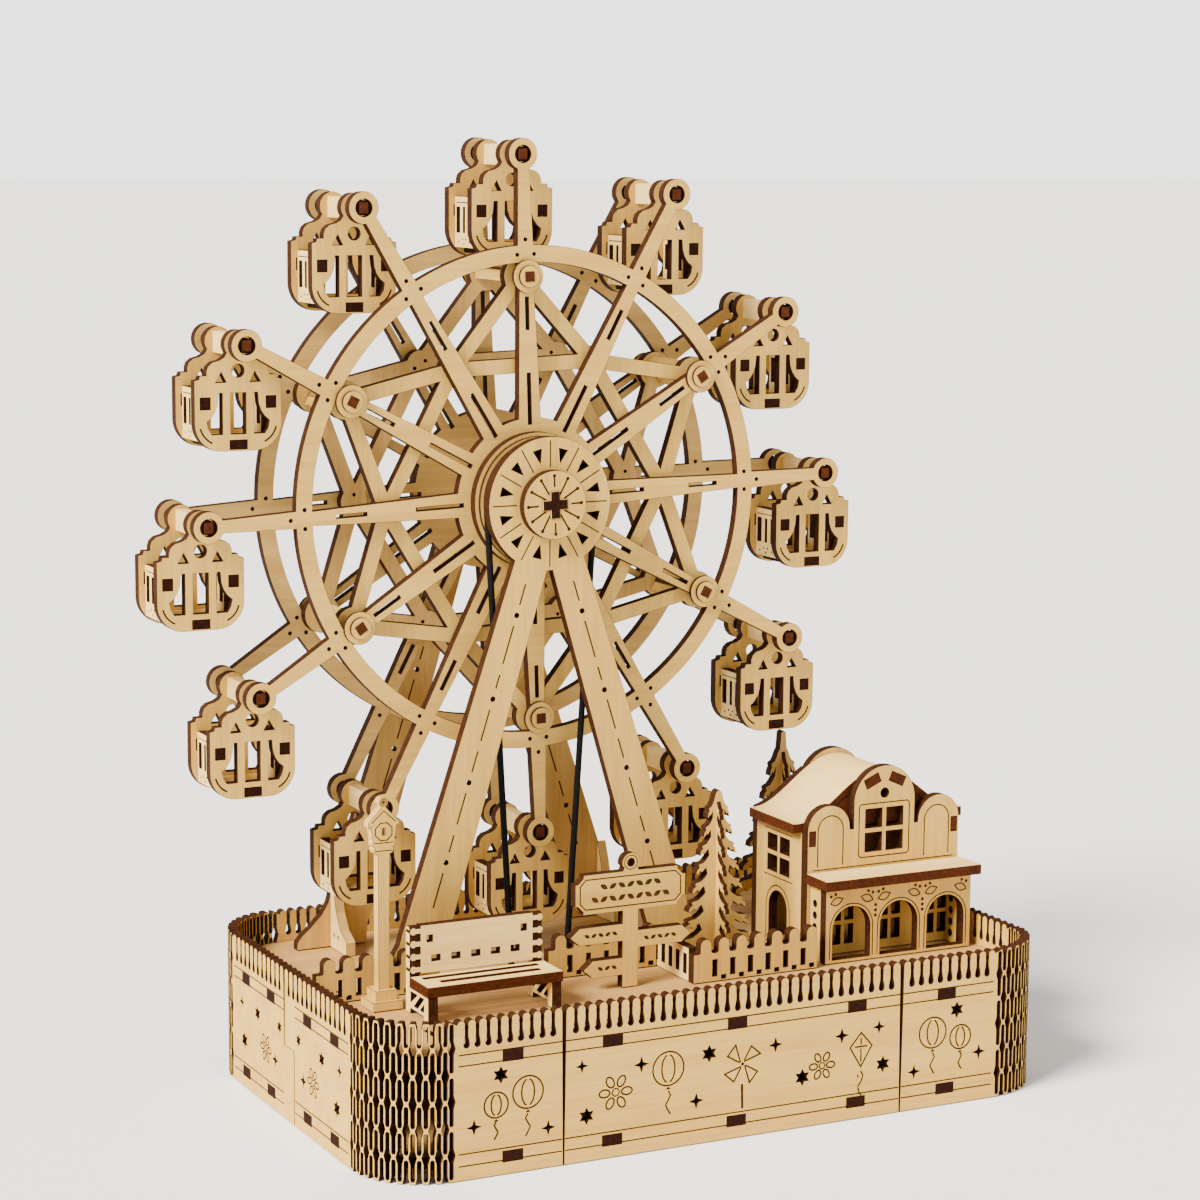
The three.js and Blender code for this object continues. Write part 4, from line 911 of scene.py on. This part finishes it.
def cabin_outline():
    right = arc(0, 0, 4.1, math.pi / 2, -0.62, 10)
    right += [(4.1, -3.6), (5.6, -4.4), (7.6, -4.9), (8.9, -6.0), (9.4, -7.4), (9.4, -8.6), (11.3, -8.6),
              (11.6, -9.6), (HALF_CABIN, -9.9), (HALF_CABIN, -22)]
    right += arc(HALF_CABIN - BOTTOM_ROUND, -22, BOTTOM_ROUND, 0, -math.pi / 2, 10)[1:]
    return mirrored(right)[:-1] + right


def facade(low, tone, face):
    """A window, two drawn curtains, two gablets, the slots for the pins, and two short engraved curls."""
    holes = [rectangle(0, -19.4, 4.6, 11.6), circle(0, -7.4, 1.9, 24), rectangle(0, FLOOR_PIN, 5.2, 2.6)]
    curtain = [(4.7, -13.6), (4.7, -25.2), (7.9, -25.2), (8.9, -23.6), (9.3, -21.6), (7.9, -20.4),
               (6.8, -18.8), (6.1, -16.8), (5.8, -13.6)]
    gablet = [(3.5, -10.6), (6.7, -10.6), (5.0, -7.7)]
    curl = line(arc(5.2, -21.8, 6.3, -0.25, -1.15, 6), 0.55)
    for shape in (curtain, gablet, rectangle(*SIDE_PIN, 3.0, 3.4)):
        holes += [shape, mirrored(shape)]
    plate = sheet([cabin_outline()] + holes, "front", low, tone=tone)
    engrave(plate, [[curl, mirrored(curl)]], "front", face)
    return plate


def side_panel(side):
    panel_low = side * 9.5 - PLY / 2
    slots = [rectangle(y, -19.2, width, 7.4) for y, width in ((-4.0, 2.4), (0, 1.3), (4.0, 2.4))]
    # The side walls get the pale birch, which is partly painted light.
    panel = sheet([rectangle(0, -19.85, 12.8, 14.9)] + slots, "side", panel_low, tone=wood("pale_and_lit", "z"))
    dots = [(-3.6, -25.6), (-1.2, -24.8), (1.2, -24.8), (3.6, -25.6), (0, -26.2)]
    strokes = [circle(y, z, 0.4, 8) for y, z in dots] + [line([(-5.6, -14.2), (5.6, -14.2)], 0.3)]
    engrave(panel, [strokes], "side", panel_low if side < 0 else panel_low + PLY)
    return panel


def cabins():
    """Draws one cabin and hangs a copy of it at each joint."""
    tone = wood("birch", "z")
    front, rear = FACADES
    parts = [facade(front, tone, front), facade(rear, tone, rear + PLY)]
    for side in (-1, 1):
        parts.append(side_panel(side))
        u, v = SIDE_PIN
        parts += [burnt_pin(rectangle(side * u, v, 2.8, 3.2), y, PLY, charred) for y in PINS]
    floor = rectangle(0, 0, 16, 12.8)
    parts.append(sheet([floor], "flat", -28.9, 2.6, tone=wood("birch", "x")))
    parts += [burnt_pin(rectangle(0, FLOOR_PIN, 5.0, 2.4), y, PLY, charred) for y in PINS]
    # The hanger bar gets the pale birch, which is partly painted light.
    pale_and_lit, length, inner = wood("pale_and_lit", "y"), 33.5, 18.6
    bar, tenon = rectangle(0, -0.2, 3.2, 6), rectangle(0, 0, 2.7, 3.1)
    parts.append(sheet([bar], "front", -inner / 2, inner, (0, 0), pale_and_lit, pale_and_lit, corner=scorched))
    parts.append(sheet([tenon], "front", -length / 2, length, (0, 0), red_edge, scorched))
    # Round end caps on the bar, burnt dark all over: they stand as painted shade inside the rims' eye holes.
    parts += [burnt_pin(circle(0, 0, 2.2, 20), y, 1.2, scorched) for y in (-15.5, 14.3)]
    cabin = joined(parts)
    for number in range(1, 13):
        copy = copied(cabin, *joint_place(f"cabin_{number:02d}_hang"))
        settle([copy], f"cabin_{number:02d}_ply", f"cabin_body_{number:02d}", [f"cabin_{number:02d}"])
    bpy.data.objects.remove(cabin)


# ---- park

def bench():
    (x0, y0, _), (x1, y1, z1) = span("bench")
    # The bench is pale birch; on its lit faces the paleness is also painted light.
    pale_and_lit, pale_x = wood("pale_and_lit", "z"), wood("pale_and_lit", "x")
    seat = ground + 10.5
    post = y1 - PLY
    side = [(y0 + 0.4, ground), (y0 + 3.2, ground), (y0 + 3.5, ground + 1.5), (y1 - 3.3, ground + 1.5),
            (y1 - 3, ground), (y1, ground), (y1, z1 - 1.2), (y1 - 0.8, z1 - 0.2), (post + 0.9, z1 - 0.2),
            (post + 0.25, z1 - 1), (post + 0.25, seat - 3.1), (y0 + 0.4, seat - 3.1)]
    low, high = ground + 2.6, ground + 6.4
    gaps = [[(y0 + 3.4, high), (y0 + 6.0, high), (y1 - 5.8, low), (y1 - 8.4, low)],
            [(y0 + 7.9, high), (y1 - 3.4, high), (y1 - 3.4, low + 0.6)],
            [(y0 + 3.3, low + 2.3), (y0 + 5.9, low), (y0 + 3.3, low)]]
    parts = [sheet([side] + gaps, "side", x, tone=pale_and_lit) for x in (x0 + 0.3, x1 - PLY - 0.3)]
    middle = (x0 + x1) / 2
    slots = [rectangle(middle + 0.5, y0 + 4.8, 31, 2.3), rectangle(middle - 0.3, y0 + 9.6, 36, 2.1)]
    seat_rim = [(x0, y0), (x1, y0), (x1, post - 0.5), (x0, post - 0.5)]
    parts.append(sheet([seat_rim] + slots, "flat", seat - PLY, tone=pale_x, edge=red_edge))

    back_low = seat + 0.5
    neck, root = x1 - 1.9, x1 - 3.4
    right = [(root, back_low)]
    for z in [z1 - 1.6 - 3.7 * k for k in (3, 2, 1, 0)]:
        right += [(root, z - 0.8), (neck, z - 0.8)] + arc(x1 - 1.3, z, 1.15, -2.1, 2.1, 9)
        right += [(neck, z + 0.8), (root, z + 0.8)]
    right.append((root, z1))
    left = [(x0 + x1 - u, z) for u, z in reversed(right)]
    row = [rectangle(x0 + 8.2 + k * 6.2, back_low + 4.2, 2.7, 1.8) for k in range(5)]
    row += [rectangle(x, back_low + 10, 1.8, 2.0) for x in (x0 + 6.3, x1 - 6.3)]
    parts.append(sheet([right + left] + row, "front", post - 0.2, 2.8, tone=pale_x))
    settle(parts, "bench_ply", "root", ["bench"])


def lamp_post():
    x, y, _ = middle_of("lamp_post")
    tone = wood("birch", "z")
    lamp_z, finial_z = 51.2, 59.6
    thickness = 3.4
    front = y - thickness / 2
    right = [(1.7, 5.5), (1.7, 44.6), (2.8, 45.1), (3.1, 46.2), (2.6, 46.7), (3.4, 47.3), (3.4, 48.3),
             (3.3, 48.8), (3.9, 53.0), (4.7, 52.6), (4.7, 53.9), (0.9, 57.9), (0.6, 58.3)]
    right += arc(0, finial_z, 1.35, -1.0, math.pi / 2, 7)
    outline = mirrored(right[:-1]) + right
    glass = [rectangle(0, lamp_z, 0.9, 2.0), circle(0, finial_z, 0.5, 12)]
    post = sheet([outline] + glass, "front", front, thickness, (x, ground), tone, wood("birch", "y"),
                 corner=scorched)
    octagon = [polar(2.7, math.pi / 8 + k * math.pi / 4) for k in range(8)]
    rules = [loop(moved(octagon, 0, lamp_z), 0.35), loop(circle(0, finial_z, 0.95, 14), 0.25)]
    rules.append([line([(-3.6, 53.9), (0, 57.2), (3.6, 53.9)], 0.35)]
                 + [line([(-reach, z), (reach, z)], 0.3) for reach, z in ((3.0, 48.0), (2.7, 45.7))])
    engrave(post, rules, "front", front, at=(x, ground))
    steps = [sheet([rectangle(0, 0, *size)], "flat", ground + low, high, (x, y), tone, tone, corner=scorched)
             for size, low, high in (((9.2, 8.8), 0, 2.6), ((6.6, 6.6), 2.55, 3.0))]
    settle([post] + steps, "lamp_post_ply", "root", ["lamp_post"])


def signpost():
    """A post with a board between two rules of leaves, and three arrows."""
    y = span("signpost")[0][1]
    x = wheel_x + 15
    tone = wood("birch", "x")
    parts = [sheet([rectangle(0, 12, 5.2, 24)], "front", y, at=(x, ground), tone=wood("birch", "z"))]
    w, h, c = 18, 11.8, 2.6             # half the board's width, its height, its cut corners
    right = [(w - c, 0), (w - c, 0.9), (w - 0.9, c), (w, c), (w, h - c), (w - 0.9, h - c), (w - c, h - 0.9),
             (w - c, h), (2.6, h), (2.2, h + 1.0)] + arc(0, h + 2.3, 2.9, -0.3, math.pi / 2, 9)
    place = x, ground + 22.9
    board = right + mirrored(right)[1:]
    sign = sheet([board, circle(0, h + 2.4, 1.2, 20)], "front", y, at=place, tone=tone)
    border = [(w - c - 0.8, 1.5), (w - 1.6, c + 0.7), (w - 1.6, h - c - 0.7), (w - c - 0.8, h - 1.5)]
    rules = [loop(border + mirrored(border), FINE), loop(circle(0, h + 2.4, 2.1, 20), 0.3)]
    leaves = leaf_row(0, h * 0.66, 7, 2.9, 2.9) + leaf_row(0, h * 0.35, 9, 2.9, 2.9)
    engrave(sign, rules + [leaves], "front", y, at=place)
    parts.append(sign)
    for reach, bottom in ((-19.6, 13.9), (20, 11.5), (-15.3, 3.8)):
        side = math.copysign(1, reach)
        neck, barb = reach - side * 3.0, reach - side * 2.4
        arrow = [(0, 0), (neck, 0), (barb, 0.6), (reach, 2.6), (barb, 4.6), (neck, 5.2), (0, 5.2)]
        place = x, ground + bottom
        plate = sheet([arrow], "front", y, at=place, tone=tone)
        bare = abs(reach) - 8.4
        leaves = leaf_row(side * (4.0 + bare / 2), 2.6, int(bare / 2.2), 2.25, 2.1)
        engrave(plate, [leaves], "front", y, at=place)
        parts.append(plate)
    settle([united(parts)], "signpost_ply", "root", ["signpost"])


def fence_outline(left, length, height, pitch):
    """Round headed pickets on a board, with a tall and a low row of slots."""
    count = round(length / pitch)
    step = length / count
    head = step * 0.62
    shoulder, top, board = height - 3.6, height - 1.4, height - 4.0
    points, slots = [(left, 0), (left + length, 0)], []
    for i in range(count):
        right = left + length - i * step
        points += [(right, shoulder), (right, top)]
        points += arc(right - head / 2, height - 1.5, head / 2, 0.25, math.pi - 0.25, 6)
        points += [(right - head, top), (right - head, shoulder)]
        if i < count - 1:
            points += [(right - head - 0.5, board), (right - step + 0.5, board)]
            slots.append(rectangle(right - step * 0.81, 4.0, 1.6, 5.0))
            slots.append(rectangle(right - step * 0.31, 1.1, 1.5, 1.2))
    return points + [(right - head - 0.4, board), (left, board)], slots


def fence_sheet(node, pitch):
    low, high = span(node)
    outline, slots = fence_outline(low[0], high[0] - low[0], high[2] - ground, pitch)
    return sheet([outline] + slots, "front", low[1], at=(0, ground), tone=wood("birch", "z"))


def fences():
    for node in ("fence_left", "fence_middle"):
        settle([fence_sheet(node, 6.3)], node + "_ply", "root", [node])
    front = fence_sheet("fence_right", 6.0)
    low, high = span("fence_right")
    y0, length = low[1] + PLY, high[1] - low[1] - PLY
    slots = [rectangle(y0 + length * share, 5, 2.1, 6) for share in (0.1, 0.3, 0.5, 0.7, 0.9)]
    rim = rectangle(y0 + length / 2, 5, length, 10)
    # The side piece gets the pale birch, which is partly painted light.
    side = sheet([rim] + slots, "side", low[0], at=(0, ground), tone=wood("pale_and_lit", "y"))
    settle([front, side], "fence_right_ply", "root", ["fence_right"])


def tree_outline(half, height, layers, spire):
    """Drooping branches with two pronged tips under a thin spire."""
    skirt, trunk = 6.0, 2.3
    branch = [(0.55, 0.2), (0.74, -0.06), (0.8, 0.04), (0.92, -0.14), (1, -0.12), (0.97, 0.1),
              (0.84, 0.26), (0.9, 0.3), (0.87, 0.42), (0.66, 0.5), (0.52, 0.68), (0.42, 0.86)]
    step = (height - skirt - spire) / layers
    right = [(trunk, 0), (trunk, skirt)]
    for k in range(layers):
        reach = 2.6 + (half - 2.6) * (1 - k / layers) ** 1.05
        right += [(reach * a, skirt + (k + b) * step) for a, b in branch]
    right += [(1.3, height - spire + 0.3), (0.9, height - 0.6)]
    return right + [(0, height)] + mirrored(right)


def tree(node, tone, slot, layers, spire):
    """Two crossed sheets, one with the tree's width and a thin one with its depth."""
    high = span(node)[1]
    x, y, _ = middle_of(node)
    height = high[2] - ground
    across = tree_outline(high[0] - x, height, layers, spire)
    along = tree_outline(high[1] - y, height - 0.6, layers, spire)
    parts = [sheet([across], "front", y - PLY / 2, at=(x, ground), tone=tone),
             sheet([along], "side", x - 0.7, 1.4, (y, ground), tone)]
    settle([united(parts)], node + "_ply", "root", [node])


# ---- shop, drawn from the middle of its front, at the deck

GABLE_HALF = 26.9
GABLE_ROUND = 0, 46.1, 10.8     # the round top: its middle and its radius
UPPER_WINDOW = 0, 37.2, 13.4, 13.2, 1.5
ROUND_WINDOW = 0, 48.4, 1.5, 24
ARCH_PITCH = 16.7
shop_place = middle_of("shop_front")[0], ground


def roof_curve():
    """The roof's upper edge, from the ridge to the right eave."""
    low, high = span("shop_roof")
    half, eave, ridge = (high[0] - low[0]) / 2, low[2] + PLY - ground, high[2] - ground
    points = []
    for i in range(25):
        t = i / 24
        rise = 0.5 + 0.5 * math.cos(math.pi * min(t * 1.08, 1))
        points.append((half * t, eave + (ridge - eave) * rise ** 0.86))
    return points


def gable_outline():
    shoulder, low = 7.4, 38.2
    u, v, radius = GABLE_ROUND
    right = [(GABLE_HALF, 0), (GABLE_HALF, 38)]
    right += arc(GABLE_HALF - shoulder, 38.8, shoulder, 0, math.pi, 16)
    right += [(GABLE_HALF - 2 * shoulder - 0.1, low), (radius, low), (radius, v - 0.1)]
    right += arc(u, v, radius, 0.02, math.pi / 2, 14)
    return right + mirrored(right)[1:]


def gable_slots(clearance):
    """Two leaning slots in the gable, and two upright ones under its shoulders."""
    leaning = rectangle(0, 0, 5.2 + clearance, 2.8 + clearance)
    return ([moved(turned(leaning, side * -0.42), side * 4.4, 52.4) for side in (-1, 1)],
            [rectangle(side * 25.2, 36.4, 2.0 + clearance, 4.4 + clearance) for side in (-1, 1)])


def panes(u, v, width, height, bar):
    """Four window panes with bars between them."""
    w, h = (width - bar) / 2, (height - bar) / 2
    return [rectangle(u + a * (w + bar) / 2, v + b * (h + bar) / 2, w, h) for a in (-1, 1) for b in (-1, 1)]


def archway(u, low, half, spring):
    return [(u - half, low), (u + half, low)] + arc(u, spring, half, 0, math.pi, 18)


def arch_line(u, low, half, spring, width=FINE):
    return line([(u + half, low)] + arc(u, spring, half, 0, math.pi, 14) + [(u - half, low)], width)


def shop_front():
    y = span("shop_front")[0][1]
    leaning, upright = gable_slots(0.2)
    holes = panes(*UPPER_WINDOW) + [circle(*ROUND_WINDOW)] + leaning + upright
    for side in (-1, 0, 1):
        holes += panes(side * ARCH_PITCH + 2.6, 9.6, 7.4, 13.4, 1.4)
    front = sheet([gable_outline()] + holes, "front", y, at=shop_place, tone=wood("birch", "z"))
    border = [(8.2, 29), (8.9, 29.7), (8.9, 44.7), (8.2, 45.4)]
    strokes = loop(border + mirrored(border), FINE)
    strokes += [arch_line(side * 18.9, 27.5, 4.4, 38.6) for side in (-1, 1)]
    engrave(front, [strokes, [rectangle(0, 26.6, 50, 0.35)]], "front", y, at=shop_place)
    leaning, upright = gable_slots(0)
    pins = [burnt_pin(outline, y + 0.2, 2.6, red_edge, shop_place) for outline in leaning]
    pins += [burnt_pin(outline, y + 0.1, 2.6, red_edge, shop_place) for outline in upright]
    settle([front] + pins, "shop_front_ply", "root", ["shop_front"])


def shop_walls():
    """Side walls, the rear wall under the curved roof, a dark sheet behind the gable as painted shade of the
    interior, and the floor.
    """
    (x0, y0, _), (x1, y1, _) = span("shop_walls")
    door_y = y1 - 16
    wall = [(y0, 0), (y1, 0), (y1, 38), (y0, 38)]
    openings = panes(door_y, 28.2, 13.2, 11.6, 1.5) + [archway(door_y, 0.9, 5.4, 11.4)]
    left = sheet([wall] + openings, "side", x0, at=(0, ground), tone=wood("birch", "z"))
    surround = [arch_line(door_y, 0.6, 7.0, 11.4)] + [rectangle(door_y, z, 17, 0.35) for z in (20.9, 35.4)]
    engrave(left, [surround], "side", x0, at=(0, ground))
    right = sheet([wall], "side", x1 - PLY, at=(0, ground), tone=wood("birch", "z"))

    u, v, radius = GABLE_ROUND
    curve = [point for point in roof_curve() if 9.5 < point[0] < GABLE_HALF]
    half = [(GABLE_HALF, 0), (GABLE_HALF, curve[-1][1] - 0.4)] + [(a, b - 0.3) for a, b in reversed(curve)]
    half += arc(u, v, radius, math.acos(min(1, curve[0][0] / radius)), math.pi / 2, 10)
    holes = panes(*UPPER_WINDOW) + [circle(*ROUND_WINDOW)]
    rim = half + mirrored(half)[1:]
    # The rear wall gets birch painted darker as shade.
    rear = sheet([rim] + holes, "front", y1 - PLY, at=shop_place, tone=wood("birch_in_shade", "z"))

    half = [(26.5, 38.4)] + [(a, b - 3.2) for a, b in reversed(roof_curve()) if a < 26.5]
    # A dark sheet behind the gable, in the burnt edge tone: painted shade of the shop's interior.
    painted_shade_sheet = sheet([half + mirrored(half)[1:]], "front", y0 + 0.1, 2.2, shop_place, red_edge)
    rim = rectangle(shop_place[0], (y0 + y1) / 2, x1 - x0 - 6.2, y1 - y0 - 3.2)
    floor = sheet([rim], "flat", ground + 0.05, 0.8, tone=wood("deck", "x"))
    settle([united([left, rear, right]), floor, painted_shade_sheet], "shop_walls_ply", "root", ["shop_walls"])


def shop_roof():
    low, high = span("shop_roof")
    upper = roof_curve()
    right = [(u, v - 2.9) for u, v in upper] + upper[::-1]
    # The curved top gets the pale birch, which is partly painted light.
    roof = sheet([right + mirrored(right)[1:-1]], "front", low[1] + 0.05, high[1] - low[1] - 0.1, shop_place,
                 red_edge, wood("pale_and_lit", "y"))
    eave = upper[-1][0] - 0.4
    # The eave ends are burnt cut edges. The underside gets the same dark tone as painted shade under the
    # roof.
    for face in roof.data.polygons:
        if abs(face.center.x / MM - shop_place[0]) > eave or face.normal.z < -0.3:
            face.material_index = 0
    settle([roof], "shop_roof_ply", "root", ["shop_roof"])


def shop_porch():
    """Three arches under a slab, with an engraved sprig and berries beside each arch."""
    low, high = span("shop_porch")
    overhang = 1.6
    half = (high[0] - low[0]) / 2 - overhang
    top = high[2] - ground - PLY
    y = high[1] - 9
    sides = (-1, 0, 1)
    arches = [archway(side * ARCH_PITCH, 1.0, 6.6, 10.4) for side in sides]
    rim = [(-half, 0), (half, 0), (half, top), (-half, top)]
    face = sheet([rim] + arches, "front", y, at=shop_place, tone=wood("birch", "z"))
    sprigs = []
    for place in (-25, -8.35, 8.35, 25):
        for side in (-1, 1):
            if abs(place + side * 4) < half:
                sprigs += loop(leaf(place + side * 0.9, 18.3, 4.4, math.pi / 2 - side * 1.25), FINE)
                sprigs += [circle(place + side * u, z, 0.5, 10) for u, z in ((1.0, 20.6), (2.6, 21.2))]
        if abs(place) < 20:
            sprigs += [circle(place, z, 0.55, 10) for z in (16.6, 15.0, 13.4)]
    trim = [arch_line(side * ARCH_PITCH, 1.2, 7.5, 10.4, 0.35) for side in sides]
    engrave(face, [sprigs, trim], "front", y, at=shop_place)
    parts = [face]
    for side in (-1, 1):
        edge = [(y + 2.9, 0), (y + 2.9, top), (high[1], top), (high[1], 0)]
        scallop = [circle(y + 6.2, 3 + 3.6 * k, 1.1, 14) for k in range(5)]
        x = shop_place[0] + side * (half - PLY / 2) - PLY / 2
        parts.append(sheet([edge] + scallop, "side", x, at=(0, ground), tone=wood("birch", "z")))
    reach = half + overhang
    rim = [(-reach, low[1]), (reach, low[1]), (reach, high[1]), (-reach, high[1])]
    # The slab gets the pale birch, which on its top is partly painted light.
    parts.append(sheet([rim], "flat", high[2] - PLY, PLY, (shop_place[0], 0), wood("pale_and_lit", "x"), red_edge))
    settle(parts, "shop_porch_ply", "root", ["shop_porch"])


# ---- belt and movement

def belt():
    """A round cord from the groove of the wheel's pulley to the one of the movement."""
    y = middle_of("drive_belt")[1]
    drive_z = joint_place("drive_spin")[2]
    distance = wheel_z - drive_z
    upper, lower = 17.5, 8.0
    lean = math.asin((upper - lower) / distance)
    points = arc(0, distance, upper, -lean, math.pi + lean, 48)
    points += arc(0, 0, lower, math.pi + lean, 2 * math.pi - lean, 24)
    deselect()
    bpy.ops.object.add(type="CURVE")
    cord = bpy.context.object
    cord.data.dimensions = "3D"
    cord.data.bevel_depth = 0.95 * MM
    cord.data.bevel_resolution = 3
    spline = cord.data.splines.new("POLY")
    spline.points.add(len(points) - 1)
    coordinates = [c for u, v in points for c in ((u + wheel_x) * MM, y * MM, (v + drive_z) * MM, 1)]
    spline.points.foreach_set("co", coordinates)
    spline.use_cyclic_u = True
    bpy.ops.object.convert(target="MESH")
    clean(cord)
    bpy.ops.object.shade_smooth_by_angle(angle=math.radians(40))
    cord.data.materials.append(rubber)
    settle([cord], "drive_belt_round", "root", ["drive_belt"])


def movement():
    """The pieces of the movement keep their solids and get their finish."""
    finishes = {
        "movement_bedplate": brass, "spring_barrel": brass, "spring_wheel": brass, "pinned_cylinder": brass,
        "movement_comb": steel, "governor": steel, "drive_pulley": wood("birch", "z"), "winding_key": brass,
    }
    for node, finish in finishes.items():
        for slot in frame["nodes"][node].material_slots:
            slot.material = finish


add_camera()
add_studio()
box_of_base()
rim_sheet("wheel_rim_front", wood("birch", "x"))
# The rear rim gets birch painted darker as shade.
rim_sheet("wheel_rim_rear", wood("birch_in_shade", "x"))
star_sheet("wheel_star_front", wood("birch", "z"))
# The rear star gets birch painted darker as shade.
star_sheet("wheel_star_rear", wood("birch_in_shade", "z"))
cross_bars()
hub()
stand("stand_front", wood("birch", "z"))
# The rear stand gets birch painted darker as shade.
stand("stand_rear", wood("birch_in_shade", "z"))
cabins()
bench()
lamp_post()
signpost()
fences()
tree("tree_front", wood("birch", "z"), "pale_plywood", 8, 2)
# The rear tree gets birch painted darker as shade.
tree("tree_rear", wood("birch_in_shade", "z"), "shaded_plywood", 6, 6)
shop_front()
shop_walls()
shop_roof()
shop_porch()
belt()
movement()
